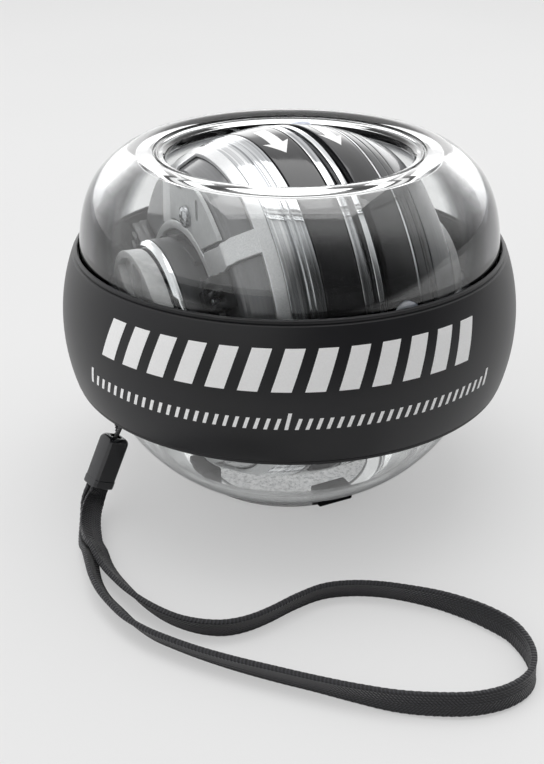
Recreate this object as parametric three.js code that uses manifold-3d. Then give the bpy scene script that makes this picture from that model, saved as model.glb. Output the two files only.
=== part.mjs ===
// Gyroscopic wrist ball with a wrist strap.
// A clear two-part casing with a grip band holds a ring that turns in a race at the equator.
// The ring carries an axle, and a heavy rotor spins on the axle.
// Millimetres, +Z up. The origin is on the floor under the centre of the ball.
// The rotor is built in a frame of its own: X is up, Y is towards the front, Z runs along the axle.

import * as THREE from 'three';
import { mergeVertices } from 'three/addons/utils/BufferGeometryUtils.js';
import Module from 'manifold-3d';

const wasm = await Module();
wasm.setup();

// Driving dimensions

// Casing
const bandRadius = 36;
const bandThickness = 2.8;
const bandHalfHeight = 10.6;
const bandArcRadius = 30;
const bandArcDrop = 1.5;
const bandLipLap = 0.45;
const beltStep = 0.4;
const beltSetback = 0.6;
const shellWall = 2.2;
const floorWall = 1.0;
const domeSquareness = 4.0;
const bowlSquareness = 1.9;
const domeRecess = 0.2;
const crestShare = 0.7317;
const mouthShare = 0.6037;
const mouthDrop = 3.0;
const mouthLip = 1.0;
const footShare = 0.3659;
const footRingShare = 0.5183;
const footRingWidth = 3.3;
const footHollow = 0.4;
const padProud = 0.3;
const padWidth = 6;
const padHeight = 3.6;
const padFaceProud = 0.1;
const padCount = 4;
const raceGrooveDepth = 1.4;
const raceHalfHeight = 1.5;
const linerThickness = 0.8;
const linerStartShare = 0.25;
const linerEndShare = 0.4333;

// Precession ring
const ringClearance = 0.4;
const ringWall = 1.3;
const ringHalfHeight = 2.6;
const flangeHalfHeight = 1.2;
const flangeClearance = 0.3;

// Rotor
const rotorClearance = 0.5;
const rotorWidthShare = 0.5986;
const rotorCrownShare = 1.1796;
const floorClearance = 0.6;
const skinThickness = 1.6;
const seamGap = 0.2;
const fitGap = 0.15;
const grooveDepth = 1.3;
const windowRecess = 0.6;
const endWall = 0.8;
const hoopProud = 0.15;
const cageThickness = 0.6;
const armWidth = 3.5;
const armCount = 6;
const armElbowShare = 0.958;
const cageHubWidth = 1.2;
const plateThickness = 0.7;
const coreHubShare = 0.3077;
const coreRimShare = 0.2198;
const coreWebHalfWidth = 3;

// Axle and starter
const axleRadius = 1.25;
const tipClearance = 0.4;
const bushWall = 2;
const bushLength = 3;
const barrelShare = 0.58;
const barrelWallShare = 0.04396;
const ratchetProud = 0.7;
const ratchetThickness = 1.2;
const ratchetTeeth = 12;
const arborShare = 0.2857;
const springThickness = 0.5;
const springTurns = 4.5;
const bezelWidth = 1.3;
const bezelThicknessShare = 0.04396;
const endFloat = 0.3;
const sealWidth = 1.2;
const pawlWidth = 5;
const pawlThickness = 2;
const pawlCount = 3;

// Seats, generator, lights and screws
const seatShare = 0.4225;
const seatThicknessShare = 0.09155;
const seatRibDepthShare = 0.4615;
const seatRibWidth = 1.1;
const seatRibCount = 8;
const hubShare = 0.2286;
const coilShare = 0.4132;
const coilLengthShare = 0.4235;
const magnetRadius = 1.6;
const magnetLength = 1.4;
const boardThickness = 0.8;
const lensRadiusShare = 0.4085;
const lensProud = 0.5;
const lensShoulderShare = 0.7;
const lensCrownShare = 0.17;
const cornerShare = 0.33;
const lensCount = 4;
const screwHeadRadius = 1.4;
const screwHeadHeight = 0.8;
const screwRadius = 0.7;
const screwLength = 2.4;
const screwCount = 3;
const leftScrewShare = 0.7692;
const rightScrewShare = 0.5495;

// Strap
const eyeThickness = 1.2;
const eyeSetback = 0.6;
const eyeHeight = 2.0;
const eyeHoleRadius = 0.55;
const stringRadius = 0.35;
const connectorWidth = 4;
const connectorDepth = 3.6;
const connectorLength = 8.4;
const connectorChamfer = 0.5;
const ribbonWidth = 3.2;
const ribbonThickness = 0.8;
const strapGap = 0.3;
const connectorDrop = 5.13;
const connectorInset = 0.45;
const connectorBeside = 2.45;
const connectorSlope = [0.355, 0.285, 0.89];
const connectorFacing = [0.655, -0.756, 0];
const strandDirection = [0.2, -0.98, 0];

// Where the rotor stands at rest, in degrees
const axleYawDegrees = 27;
const armPhaseDegrees = 45;
const armLeanDegrees = 20;
const platePhaseDegrees = 15;
const plateTurnDegrees = 4;
const screwPhaseDegrees = 10;
const pawlPhaseDegrees = 57;
const lensPhaseDegrees = 76;
const padPhaseDegrees = 27;
const eyeAzimuthDegrees = 215;

// Edges of the rotor's rings along the axle, as shares of its half width, from left to right
const hoopEdgeShares = [-0.794, -0.688];
const leftChromeEdgeShares = [-0.688, -0.406];
const leftPanelEdgeShares = [-0.406, -0.1];
const centreChromeEdgeShares = [-0.1, -0.02];
const grooveEdgeShares = [-0.02, 0.152];
const rightPanelEdgeShares = [0.152, 0.44];
const rightTrimEdgeShares = [0.44, 0.47];
const smokeEdgeShares = [0.47, 0.65];
const lensPlaceShare = 0.296;
const trimPlaceShares = [0.36, 0.66];

// How finely round pieces are faceted
const casingSegments = 32;
const rotorSegments = 24;
const smallSegments = 12;
const boreSegments = 12;
const stringSegments = 4;
const plateSegments = 5;
const domeSteps = 6;
const bowlSteps = 6;
const lipSteps = 3;
const bandSteps = 6;
const skinSteps = 2;
const narrowSkinWidth = 3;
const coreSteps = 4;
const stringSteps = 14;
const ribbonStepsPerPlace = 2;

// Derived sizes

const beltRadius = bandRadius - bandThickness;
const shellRadius = beltRadius - beltStep;
const crestRadius = shellRadius * crestShare;
const mouthRadius = shellRadius * mouthShare;
const footRadius = shellRadius * footShare;
const footRingRadius = shellRadius * footRingShare;
const footRingInner = footRingRadius - footRingWidth;
const innerRadius = shellRadius - shellWall;
const raceRadius = innerRadius + raceGrooveDepth;
const ringOuterRadius = innerRadius - ringClearance;
const ringInnerRadius = ringOuterRadius - ringWall;
const rotorReach = ringInnerRadius - rotorClearance;
const rotorHalfWidth = rotorReach * rotorWidthShare;
const rotorCrown = rotorReach * rotorCrownShare;
const rotorEndRadius = Math.sqrt(rotorReach ** 2 - rotorHalfWidth ** 2);
const rotorRadius = rotorEndRadius + rotorCrown - Math.sqrt(rotorCrown ** 2 - rotorHalfWidth ** 2);
const domeRise = rotorRadius - domeRecess;
const floorDepth = rotorRadius + floorClearance;
const footDepth = floorDepth + floorWall;
const equatorHeight = footDepth + padProud;
const axleReach = raceRadius - tipClearance;
const seatRadius = rotorReach * seatShare;
const seatReach = Math.sqrt((ringInnerRadius - rotorClearance) ** 2 - seatRadius ** 2);
const seatThickness = rotorReach * seatThicknessShare;
const seatRibDepth = seatThickness * seatRibDepthShare;
const seatNear = seatReach - seatThickness;
const coilLength = (seatNear - rotorHalfWidth) * coilLengthShare;
const cageFace = rotorHalfWidth + fitGap + cageThickness;
const barrelNear = rotorHalfWidth + 2 * fitGap;
const barrelWall = rotorEndRadius * barrelWallShare;
const bezelThickness = rotorEndRadius * bezelThicknessShare;
const barrelFar = seatNear - endFloat - bezelThickness - fitGap;
const barrelRadius = rotorEndRadius * barrelShare;
const arborRadius = barrelRadius * arborShare;
const ratchetRadius = barrelRadius + ratchetProud;
const cageHubRadius = ratchetRadius + rotorClearance;
const hubRadius = rotorEndRadius * hubShare;
const coilOuterRadius = rotorEndRadius * coilShare;
const coreHubRadius = rotorEndRadius * coreHubShare;
const coreRimDepth = rotorEndRadius * coreRimShare;
const leftScrewPlace = rotorEndRadius * leftScrewShare;
const rightScrewPlace = rotorEndRadius * rightScrewShare;

// Helpers for making meshes

const model = new THREE.Group();
const fullTurn = 2 * Math.PI;
const degree = Math.PI / 180;

function finish(colour, roughness, metalness = 0) {
  return new THREE.MeshStandardMaterial({ color: colour, roughness, metalness });
}

function clearFinish(colour, roughness, opacity) {
  return new THREE.MeshStandardMaterial({ color: colour, roughness, transparent: true, opacity });
}

function weld(geometry) {
  geometry.deleteAttribute('normal');
  geometry.deleteAttribute('uv');
  return mergeVertices(geometry);
}

// A closed mesh's volume is negative where its faces point in, and then every face is turned over.
function faceOut(geometry) {
  const places = geometry.getAttribute('position');
  const index = geometry.getIndex();
  const corners = [new THREE.Vector3(), new THREE.Vector3(), new THREE.Vector3()];
  let volume = 0;
  for (let i = 0; i < index.count; i += 3) {
    corners.forEach((corner, j) => corner.fromBufferAttribute(places, index.getX(i + j)));
    volume += corners[0].dot(corners[1].cross(corners[2]));
  }
  if (volume < 0) {
    for (let i = 0; i < index.count; i += 3) {
      const first = index.getX(i);
      index.setX(i, index.getX(i + 1));
      index.setX(i + 1, first);
    }
  }
  return geometry;
}

function toSolid(geometry) {
  const clean = faceOut(weld(geometry.clone()));
  const vertProperties = new Float32Array(clean.getAttribute('position').array);
  const triVerts = new Uint32Array(clean.getIndex().array);
  return new wasm.Manifold(new wasm.Mesh({ numProp: 3, vertProperties, triVerts }));
}

function toGeometry(solid) {
  const mesh = solid.getMesh();
  const geometry = new THREE.BufferGeometry();
  geometry.setAttribute('position', new THREE.BufferAttribute(mesh.vertProperties, 3));
  geometry.setIndex(new THREE.BufferAttribute(mesh.triVerts, 1));
  return geometry;
}

function cut(geometry, ...tools) {
  return toGeometry(tools.reduce((solid, tool) => solid.subtract(toSolid(tool)), toSolid(geometry)));
}

function join(geometry, ...others) {
  return toGeometry(others.reduce((solid, other) => solid.add(toSolid(other)), toSolid(geometry)));
}

function common(geometry, other) {
  return toGeometry(toSolid(geometry).intersect(toSolid(other)));
}

// A ring turned about Z from an outline of [radius, height] points, closed on itself.
function ring(outline, segments) {
  const points = outline.map(([radius, height]) => new THREE.Vector2(radius, height));
  points.push(points[0].clone());
  const geometry = new THREE.LatheGeometry(points, segments);
  geometry.rotateX(Math.PI / 2);
  return faceOut(weld(geometry));
}

// A plain ring of rectangular section.
function collar(innerEdge, outerEdge, low, high, segments = rotorSegments) {
  return ring([[innerEdge, low], [outerEdge, low], [outerEdge, high], [innerEdge, high]], segments);
}

// A turned solid whose outline of [radius, height] points starts and ends on the axis.
function turned(outline, segments = smallSegments) {
  const points = outline.map(([radius, height]) => new THREE.Vector2(radius, height));
  const geometry = new THREE.LatheGeometry(points, segments);
  geometry.rotateX(Math.PI / 2);
  return faceOut(weld(geometry));
}

function rod(radius, low, high, segments = smallSegments) {
  return turned([[0, low], [radius, low], [radius, high], [0, high]], segments);
}

function block(width, depth, height, x, y, z) {
  const geometry = new THREE.BoxGeometry(width, depth, height);
  geometry.translate(x, y, z);
  return weld(geometry);
}

function spun(geometry, angle) {
  return geometry.clone().rotateZ(angle);
}

function add(group, name, geometry, material) {
  const mesh = new THREE.Mesh(geometry, material);
  mesh.name = name;
  group.add(mesh);
  return mesh;
}

function evenly(count) {
  return Array.from({ length: count }, (_, i) => i);
}

// Finishes

const clearPolycarbonate = clearFinish(0xf2f5f6, 0.05, 0.35);
const frostedPolycarbonate = clearFinish(0xdadcdd, 0.55, 0.8);
const blackSilicone = finish(0x1d1d1f, 0.6);
const blackRubber = finish(0x202022, 0.75);
const blackNylon = finish(0x121214, 0.8);
const blackMoulding = finish(0x101014, 0.4);
const steel = finish(0xb9bcc0, 0.25, 1);
const chrome = finish(0xe6e8ea, 0.08, 1);
const zinc = finish(0x6d7074, 0.45, 1);
const satinSilver = finish(0xc9cbcc, 0.35, 0.6);
const paleGrey = finish(0xb4b6b7, 0.5);
const darkPanel = finish(0x2b2b2e, 0.25);
const smoke = finish(0x4a4b4d, 0.2);
const whitePlastic = finish(0xdfe0e0, 0.45);
const bronze = finish(0x8a6b3f, 0.4, 1);
const paleTape = finish(0xd9d5c6, 0.45);
const boardGreen = finish(0x1d3b2c, 0.6);
const lensWhite = clearFinish(0xe8eefc, 0.1, 0.8);
const magnetGrey = finish(0x8d9196, 0.3, 1);

// Casing

const casing = new THREE.Group();
casing.position.z = equatorHeight;
model.add(casing);

// The casing's section is a curve between an ellipse and a rectangle.
function superCurve(angle, reach, rise, squareness, flat = 0) {
  const across = Math.cos(angle) ** (2 / squareness);
  const up = Math.sin(angle) ** (2 / squareness);
  return [flat + (reach - flat) * across, rise * up];
}

function superAngleAtRadius(radius, reach, squareness) {
  return Math.acos((radius / reach) ** (squareness / 2));
}

function superRadiusAtHeight(height, reach, rise, squareness, flat = 0) {
  return flat + (reach - flat) * (1 - (height / rise) ** squareness) ** (1 / squareness);
}

const beltTop = bandHalfHeight - beltSetback;

function domeShell() {
  const innerRise = domeRise - shellWall;
  const lipHeight = domeRise - mouthDrop;
  const crestAngle = superAngleAtRadius(crestRadius, shellRadius, domeSquareness);
  const crest = superCurve(crestAngle, shellRadius, domeRise, domeSquareness);
  const outline = [[raceRadius, 0], [beltRadius, 0], [beltRadius, beltTop]];
  const firstRadius = superRadiusAtHeight(beltTop, shellRadius, domeRise, domeSquareness);
  const firstAngle = superAngleAtRadius(firstRadius, shellRadius, domeSquareness);
  for (let i = 0; i <= domeSteps; i += 1) {
    const angle = firstAngle + (crestAngle - firstAngle) * i / domeSteps;
    outline.push(superCurve(angle, shellRadius, domeRise, domeSquareness));
  }
  const lip = new THREE.QuadraticBezierCurve(
    new THREE.Vector2(crest[0], crest[1]),
    new THREE.Vector2((crest[0] + mouthRadius) / 2, crest[1] + (crest[1] - lipHeight) / 2),
    new THREE.Vector2(mouthRadius, lipHeight),
  );
  lip.getPoints(lipSteps).slice(1).forEach((point) => outline.push([point.x, point.y]));
  outline.push([mouthRadius - mouthLip, lipHeight - mouthLip / 2]);
  const innerCrestRadius = crestRadius - mouthLip;
  const innerAngle = superAngleAtRadius(innerCrestRadius, innerRadius, domeSquareness);
  const innerCrest = superCurve(innerAngle, innerRadius, innerRise, domeSquareness);
  outline.push([mouthRadius - mouthLip, lipHeight - mouthLip - mouthLip / 2]);
  outline.push([mouthRadius + mouthLip / 2, Math.min(innerCrest[1], lipHeight - mouthLip)]);
  const raceRadiusAtTop = superRadiusAtHeight(raceHalfHeight, innerRadius, innerRise, domeSquareness);
  const lastAngle = superAngleAtRadius(raceRadiusAtTop, innerRadius, domeSquareness);
  for (let i = 0; i <= domeSteps; i += 1) {
    const angle = innerAngle + (lastAngle - innerAngle) * i / domeSteps;
    outline.push(superCurve(angle, innerRadius, innerRise, domeSquareness));
  }
  outline.push([raceRadius, raceHalfHeight]);
  return ring(outline, casingSegments);
}

function bowlOuter(angle) {
  const [radius, depth] = superCurve(angle, shellRadius, footDepth, bowlSquareness, footRadius);
  return [radius, -depth];
}

function bowlInner(angle, inset = 0) {
  const reach = innerRadius - inset;
  const [radius, depth] = superCurve(angle, reach, floorDepth - inset, bowlSquareness, footRadius);
  return [radius, -depth];
}

// The angle at which a bowl curve passes a depth.
function bowlAngleAtDepth(depth, rise) {
  return Math.asin((depth / rise) ** (bowlSquareness / 2));
}

// The angles of the facets inside the bowl, from the edge of its flat floor up to the race.
function bowlInnerAngle(i) {
  const lastAngle = bowlAngleAtDepth(raceHalfHeight, floorDepth);
  return Math.PI / 2 + (lastAngle - Math.PI / 2) * i / bowlSteps;
}

// A foot pad is a block let through the foot ring. Its seat is the same form, grown.
function footPad(grow) {
  const low = -footDepth - padProud - grow;
  const height = padHeight + 2 * grow;
  const depth = footRingRadius + padFaceProud - footRingInner;
  const middle = footRingInner + depth / 2;
  return block(depth + 2 * grow, padWidth + 2 * grow, height, middle, 0, low + height / 2);
}

const eyeTop = -bandHalfHeight - fitGap;
const eyeOuter = beltRadius - eyeSetback;
const eyeHoleReach = eyeOuter - 2 * eyeHoleRadius;
const eyeHoleHeight = eyeTop - eyeHeight + 2 * eyeHoleRadius;

function strapEye() {
  const low = eyeTop - eyeHeight;
  const wallInside = superRadiusAtHeight(-low, innerRadius, floorDepth, bowlSquareness, footRadius);
  const inner = wallInside + shellWall / 2;
  const middle = (inner + eyeOuter) / 2;
  const plate = block(eyeOuter - inner, eyeThickness, eyeHeight, middle, 0, low + eyeHeight / 2);
  const hole = rod(eyeHoleRadius, -eyeThickness, eyeThickness);
  hole.rotateX(Math.PI / 2);
  hole.translate(eyeHoleReach, 0, eyeHoleHeight);
  return cut(plate, hole);
}

function bowlShell() {
  const beltLow = -beltTop;
  const outline = [[raceRadius, 0], [beltRadius, 0], [beltRadius, beltLow]];
  const firstAngle = bowlAngleAtDepth(beltTop, footDepth);
  const ringReach = footRingRadius - footRadius;
  const lastAngle = superAngleAtRadius(ringReach, shellRadius - footRadius, bowlSquareness);
  for (let i = 0; i <= bowlSteps; i += 1) {
    outline.push(bowlOuter(firstAngle + (lastAngle - firstAngle) * i / bowlSteps));
  }
  outline.push([footRingRadius, -footDepth], [footRingInner, -footDepth]);
  outline.push([footRingInner - footHollow, footHollow - footDepth]);
  outline.push([0, footHollow - footDepth], [0, -floorDepth]);
  for (let i = 0; i <= bowlSteps; i += 1) {
    outline.push(bowlInner(bowlInnerAngle(i)));
  }
  outline.push([raceRadius, -raceHalfHeight]);
  const bowl = ring(outline, casingSegments);
  const eye = strapEye().rotateZ(eyeAzimuthDegrees * degree);
  const pockets = evenly(padCount).map((i) => spun(footPad(fitGap), padAngle(i)));
  return cut(join(bowl, eye), ...pockets);
}

function padAngle(i) {
  return (padPhaseDegrees - 90) * degree + i * fullTurn / padCount;
}

add(casing, 'upper_shell', domeShell(), clearPolycarbonate);
add(casing, 'lower_shell', bowlShell(), clearPolycarbonate);

function gripBand() {
  const arcCentre = bandRadius - bandArcRadius;
  const outline = [];
  for (let i = 0; i <= bandSteps; i += 1) {
    const height = -bandHalfHeight + 2 * bandHalfHeight * i / bandSteps;
    outline.push([arcCentre + Math.sqrt(bandArcRadius ** 2 - (height + bandArcDrop) ** 2), height]);
  }
  const lapRadius = shellRadius + fitGap;
  outline.push([lapRadius, bandHalfHeight], [lapRadius, beltTop + fitGap]);
  outline.push([beltRadius + fitGap, beltTop + fitGap]);
  outline.push([beltRadius + fitGap, -beltTop], [beltRadius + bandLipLap, -bandHalfHeight]);
  return ring(outline, casingSegments);
}

add(casing, 'grip_band', gripBand(), blackSilicone);

// The liner follows the bowl's inner facets, from a place on one facet to a place on another.
function linerPlace(place, inset) {
  const i = Math.floor(place);
  const low = bowlInner(bowlInnerAngle(i), inset);
  const high = bowlInner(bowlInnerAngle(i + 1), inset);
  return low.map((value, axis) => value + (high[axis] - value) * (place - i));
}

function baseLiner() {
  const start = linerStartShare * bowlSteps;
  const places = [start, Math.ceil(start), linerEndShare * bowlSteps];
  const outer = places.map((place) => linerPlace(place, fitGap));
  const inner = places.map((place) => linerPlace(place, fitGap + linerThickness));
  return ring([...outer, ...inner.reverse()], casingSegments);
}

add(casing, 'base_liner', baseLiner(), frostedPolycarbonate);

evenly(padCount).forEach((i) => {
  const name = `foot_pad_${i + 1}`;
  add(casing, name, spun(footPad(0), padAngle(i)), blackRubber);
});

// Precession ring and the seats that hold the axle's ends
// The rotor's frame stands at rest with X up, Y towards the front and Z along the axle.

const axleYaw = axleYawDegrees * degree;
const rotorFrame = new THREE.Group();
rotorFrame.quaternion.setFromRotationMatrix(new THREE.Matrix4().makeBasis(
  new THREE.Vector3(0, 0, 1),
  new THREE.Vector3(Math.sin(axleYaw), -Math.cos(axleYaw), 0),
  new THREE.Vector3(Math.cos(axleYaw), Math.sin(axleYaw), 0),
));
casing.add(rotorFrame);

function precessionRing() {
  const flangeRadius = raceRadius - flangeClearance;
  const band = ring([
    [ringInnerRadius, -ringHalfHeight], [ringOuterRadius, -ringHalfHeight],
    [ringOuterRadius, -flangeHalfHeight], [flangeRadius, -flangeHalfHeight],
    [flangeRadius, flangeHalfHeight], [ringOuterRadius, flangeHalfHeight],
    [ringOuterRadius, ringHalfHeight], [ringInnerRadius, ringHalfHeight],
  ], casingSegments);
  const bore = rod(axleRadius + fitGap, -raceRadius, raceRadius);
  bore.rotateY(Math.PI / 2);
  return cut(band, bore).rotateZ(axleYaw);
}

add(casing, 'precession_ring', precessionRing(), satinSilver);

// Each seat is a disc with ribs that fan out from the axle on its outer face.
function axleSeat(pocketed) {
  const ribFace = seatReach;
  const discFace = seatReach - seatRibDepth;
  const disc = collar(axleRadius + fitGap, seatRadius, seatNear, discFace);
  const rim = collar(seatRadius - seatRibWidth, seatRadius, discFace - fitGap, ribFace);
  const hub = collar(axleRadius + fitGap, axleRadius + bushWall, discFace - fitGap, ribFace);
  const ribLength = seatRadius - seatRibWidth / 2 - axleRadius - bushWall / 2;
  const ribStart = axleRadius + bushWall / 2;
  const rib = block(ribLength, seatRibWidth, seatRibDepth + fitGap, ribStart + ribLength / 2, 0, 0);
  rib.translate(0, 0, discFace - fitGap + (seatRibDepth + fitGap) / 2);
  const ribs = evenly(seatRibCount).map((i) => spun(rib, i * fullTurn / seatRibCount));
  const seat = join(disc, rim, hub, ...ribs);
  if (!pocketed) return seat;
  const pockets = magnetAngles.map((angle) => {
    const pocket = rod(magnetRadius + fitGap, seatNear - fitGap, seatNear + magnetLength - fitGap);
    return spun(pocket.translate(magnetPlace, 0, 0), angle);
  });
  return cut(seat, ...pockets);
}

const magnetAngles = [0, Math.PI];
const magnetPlace = seatRadius - seatRibWidth - magnetRadius - 2 * fitGap;

add(rotorFrame, 'left_axle_seat', axleSeat(false).rotateX(Math.PI), whitePlastic);
add(rotorFrame, 'right_axle_seat', axleSeat(true), whitePlastic);
magnetAngles.forEach((angle, i) => {
  const magnet = rod(magnetRadius, seatNear - 2 * fitGap, seatNear + magnetLength - 2 * fitGap);
  add(rotorFrame, `generator_magnet_${i + 1}`, spun(magnet.translate(magnetPlace, 0, 0), angle), magnetGrey);
});

// Axle and starter

add(rotorFrame, 'axle', turned([
  [0, -axleReach], [axleRadius / 2, -axleReach], [axleRadius, -axleReach + axleRadius / 2],
  [axleRadius, axleReach - axleRadius / 2], [axleRadius / 2, axleReach], [0, axleReach],
]), steel);

function springBarrel() {
  const floor = -barrelNear - barrelWall;
  const cup = ring([
    [axleRadius + fitGap, floor], [axleRadius + fitGap, -barrelNear], [barrelRadius, -barrelNear],
    [barrelRadius, -barrelFar], [barrelRadius - barrelWall, -barrelFar], [barrelRadius - barrelWall, floor],
  ], rotorSegments);
  const teeth = new THREE.Shape();
  evenly(ratchetTeeth).forEach((i) => {
    const start = i * fullTurn / ratchetTeeth;
    const end = (i + 1) * fullTurn / ratchetTeeth;
    const root = barrelRadius - fitGap;
    if (i === 0) teeth.moveTo(ratchetRadius * Math.cos(start), ratchetRadius * Math.sin(start));
    else teeth.lineTo(ratchetRadius * Math.cos(start), ratchetRadius * Math.sin(start));
    teeth.lineTo(root * Math.cos(start), root * Math.sin(start));
    const middle = (start + end) / 2;
    const between = (root + ratchetRadius) / 2;
    teeth.lineTo(between * Math.cos(middle), between * Math.sin(middle));
  });
  teeth.closePath();
  const bore = new THREE.Path();
  bore.absarc(0, 0, barrelRadius - barrelWall / 2, 0, fullTurn, true);
  teeth.holes.push(bore);
  const options = { depth: ratchetThickness, bevelEnabled: false, curveSegments: boreSegments };
  const crown = new THREE.ExtrudeGeometry(teeth, options);
  crown.translate(0, 0, -barrelNear - ratchetThickness);
  return join(cup, crown);
}

add(rotorFrame, 'spring_barrel', springBarrel(), darkPanel);

const arborNear = barrelNear + barrelWall + fitGap;
const arborFar = barrelFar - fitGap;
add(rotorFrame, 'spring_arbor', collar(axleRadius + fitGap, arborRadius, -arborFar, -arborNear), steel);

// The mainspring is a flat spiral from the arbor to the barrel's wall.
function mainspring() {
  const start = arborRadius + fitGap;
  const end = barrelRadius - barrelWall - fitGap - springThickness;
  const steps = Math.round(springTurns * rotorSegments / 2);
  const low = -barrelFar + barrelWall + fitGap;
  const high = -arborNear - fitGap;
  const places = [];
  for (let i = 0; i <= steps; i += 1) {
    const angle = springTurns * fullTurn * i / steps;
    const inner = start + (end - start) * i / steps;
    [[inner, low], [inner + springThickness, low], [inner + springThickness, high], [inner, high]]
      .forEach(([radius, height]) => places.push(radius * Math.cos(angle), radius * Math.sin(angle), height));
  }
  return tube(places, 4);
}

// A closed tube from rings of points, all with the same count, capped at both ends.
function tube(places, count) {
  const rings = places.length / 3 / count;
  const faces = [];
  for (let i = 0; i < rings - 1; i += 1) {
    for (let j = 0; j < count; j += 1) {
      const a = i * count + j;
      const b = i * count + (j + 1) % count;
      faces.push(a, b, a + count, b, b + count, a + count);
    }
  }
  const last = (rings - 1) * count;
  for (let j = 1; j < count - 1; j += 1) {
    faces.push(0, j + 1, j, last, last + j, last + j + 1);
  }
  const geometry = new THREE.BufferGeometry();
  geometry.setAttribute('position', new THREE.Float32BufferAttribute(places, 3));
  geometry.setIndex(faces);
  return faceOut(geometry);
}

add(rotorFrame, 'mainspring', mainspring(), steel);
console.log('least gap between the turns of the mainspring, mm:', springGap().toFixed(2));

function springGap() {
  const start = arborRadius + fitGap;
  const end = barrelRadius - barrelWall - fitGap - springThickness;
  return (end - start) / springTurns - springThickness;
}

const bezelNear = barrelFar + fitGap;
const bezelFar = bezelNear + bezelThickness;
const sealOuter = barrelRadius - bezelWidth - fitGap;
add(rotorFrame, 'barrel_bezel', ring([
  [barrelRadius - bezelWidth, -bezelNear], [barrelRadius - bezelWidth, -bezelFar],
  [barrelRadius - bezelWidth / 2, -bezelFar], [barrelRadius, -bezelNear],
], rotorSegments), chrome);
const barrelSeal = collar(sealOuter - sealWidth, sealOuter, -bezelNear, -barrelFar + barrelWall);
add(rotorFrame, 'barrel_seal', barrelSeal, blackRubber);

// Rotor

function rotorSkinRadius(place) {
  return rotorRadius - rotorCrown + Math.sqrt(rotorCrown ** 2 - place ** 2);
}

// Outline of a ring of the rotor's skin between two places on the axle.
function skinRing(start, end, proud = 0, thickness = skinThickness) {
  const steps = end - start < narrowSkinWidth ? 1 : skinSteps;
  const outline = [];
  for (let i = 0; i <= steps; i += 1) {
    const place = start + (end - start) * i / steps;
    outline.push([rotorSkinRadius(place) + proud, place]);
  }
  for (let i = steps; i >= 0; i -= 1) {
    const place = start + (end - start) * i / steps;
    outline.push([rotorSkinRadius(place) + proud - thickness, place]);
  }
  return ring(outline, rotorSegments);
}

function skinBetween(shares, proud = 0, thickness = skinThickness) {
  const start = shares[0] * rotorHalfWidth + seamGap / 2;
  const end = shares[1] * rotorHalfWidth - seamGap / 2;
  return skinRing(start, end, proud, thickness);
}

const coreLeft = hoopEdgeShares[1] * rotorHalfWidth;
const coreRight = smokeEdgeShares[1] * rotorHalfWidth;
const coreInset = skinThickness + fitGap + hoopProud;

function flywheelCore() {
  const boreRadius = axleRadius + fitGap + bushWall + fitGap;
  const outline = [[boreRadius, coreLeft], [coreHubRadius, coreLeft], [coreHubRadius, -coreWebHalfWidth]];
  const rimInner = rotorSkinRadius(coreLeft) - coreInset - coreRimDepth;
  outline.push([rimInner, -coreWebHalfWidth], [rimInner, coreLeft]);
  const steps = coreSteps;
  for (let i = 0; i <= steps; i += 1) {
    const place = coreLeft + (coreRight - coreLeft) * i / steps;
    outline.push([rotorSkinRadius(place) - coreInset, place]);
  }
  outline.push([rimInner, coreRight], [rimInner, coreWebHalfWidth]);
  outline.push([coreHubRadius, coreWebHalfWidth], [coreHubRadius, coreRight], [boreRadius, coreRight]);
  return ring(outline, rotorSegments);
}

add(rotorFrame, 'flywheel_core', flywheelCore(), zinc);

const bushOuter = axleRadius + fitGap + bushWall;
const bushBore = axleRadius + fitGap;
add(rotorFrame, 'left_bush', collar(bushBore, bushOuter, coreLeft, coreLeft + bushLength), bronze);
add(rotorFrame, 'right_bush', collar(bushBore, bushOuter, coreRight - bushLength, coreRight), bronze);

add(rotorFrame, 'left_chrome_band', skinBetween(leftChromeEdgeShares), chrome);
add(rotorFrame, 'left_panel', skinBetween(leftPanelEdgeShares), darkPanel);
add(rotorFrame, 'centre_chrome_band', skinBetween(centreChromeEdgeShares), chrome);
const grooveFloor = skinBetween(grooveEdgeShares, -grooveDepth, skinThickness - grooveDepth);
add(rotorFrame, 'groove_ring', grooveFloor, blackMoulding);
add(rotorFrame, 'right_trim_ring', skinBetween(rightTrimEdgeShares), chrome);
add(rotorFrame, 'smoke_band', skinBetween(smokeEdgeShares), smoke);

// A bright ring stands in the groove between two shares of the groove's width.
function grooveTrim() {
  const low = grooveEdgeShares[0] * rotorHalfWidth;
  const width = (grooveEdgeShares[1] - grooveEdgeShares[0]) * rotorHalfWidth;
  const start = low + width * trimPlaceShares[0];
  const end = low + width * trimPlaceShares[1];
  const foot = rotorSkinRadius(start) - grooveDepth + fitGap;
  return collar(foot, rotorSkinRadius(start) - fitGap, start, end);
}

add(rotorFrame, 'groove_trim_ring', grooveTrim(), chrome);

// The right panel has a hole for each light's lens.
const rightPanelWidth = (rightPanelEdgeShares[1] - rightPanelEdgeShares[0]) * rotorHalfWidth;
const lensPlace = lensPlaceShare * rotorHalfWidth;
const lensRadius = lensRadiusShare * rightPanelWidth;
const lensFoot = rotorSkinRadius(lensPlace) - skinThickness;

function lensAngle(i) {
  return lensPhaseDegrees * degree + i * fullTurn / lensCount;
}

function lensSolid(radius, low, high, domed) {
  const rise = high - low;
  const shoulder = radius * lensShoulderShare;
  const crownDrop = radius * lensCrownShare;
  const lens = domed
    ? turned([[0, low], [radius, low], [radius, high - radius / 2], [shoulder, high - crownDrop], [0, high]])
    : rod(radius, low, low + rise);
  return lens.rotateY(Math.PI / 2).translate(0, 0, lensPlace);
}

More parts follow.
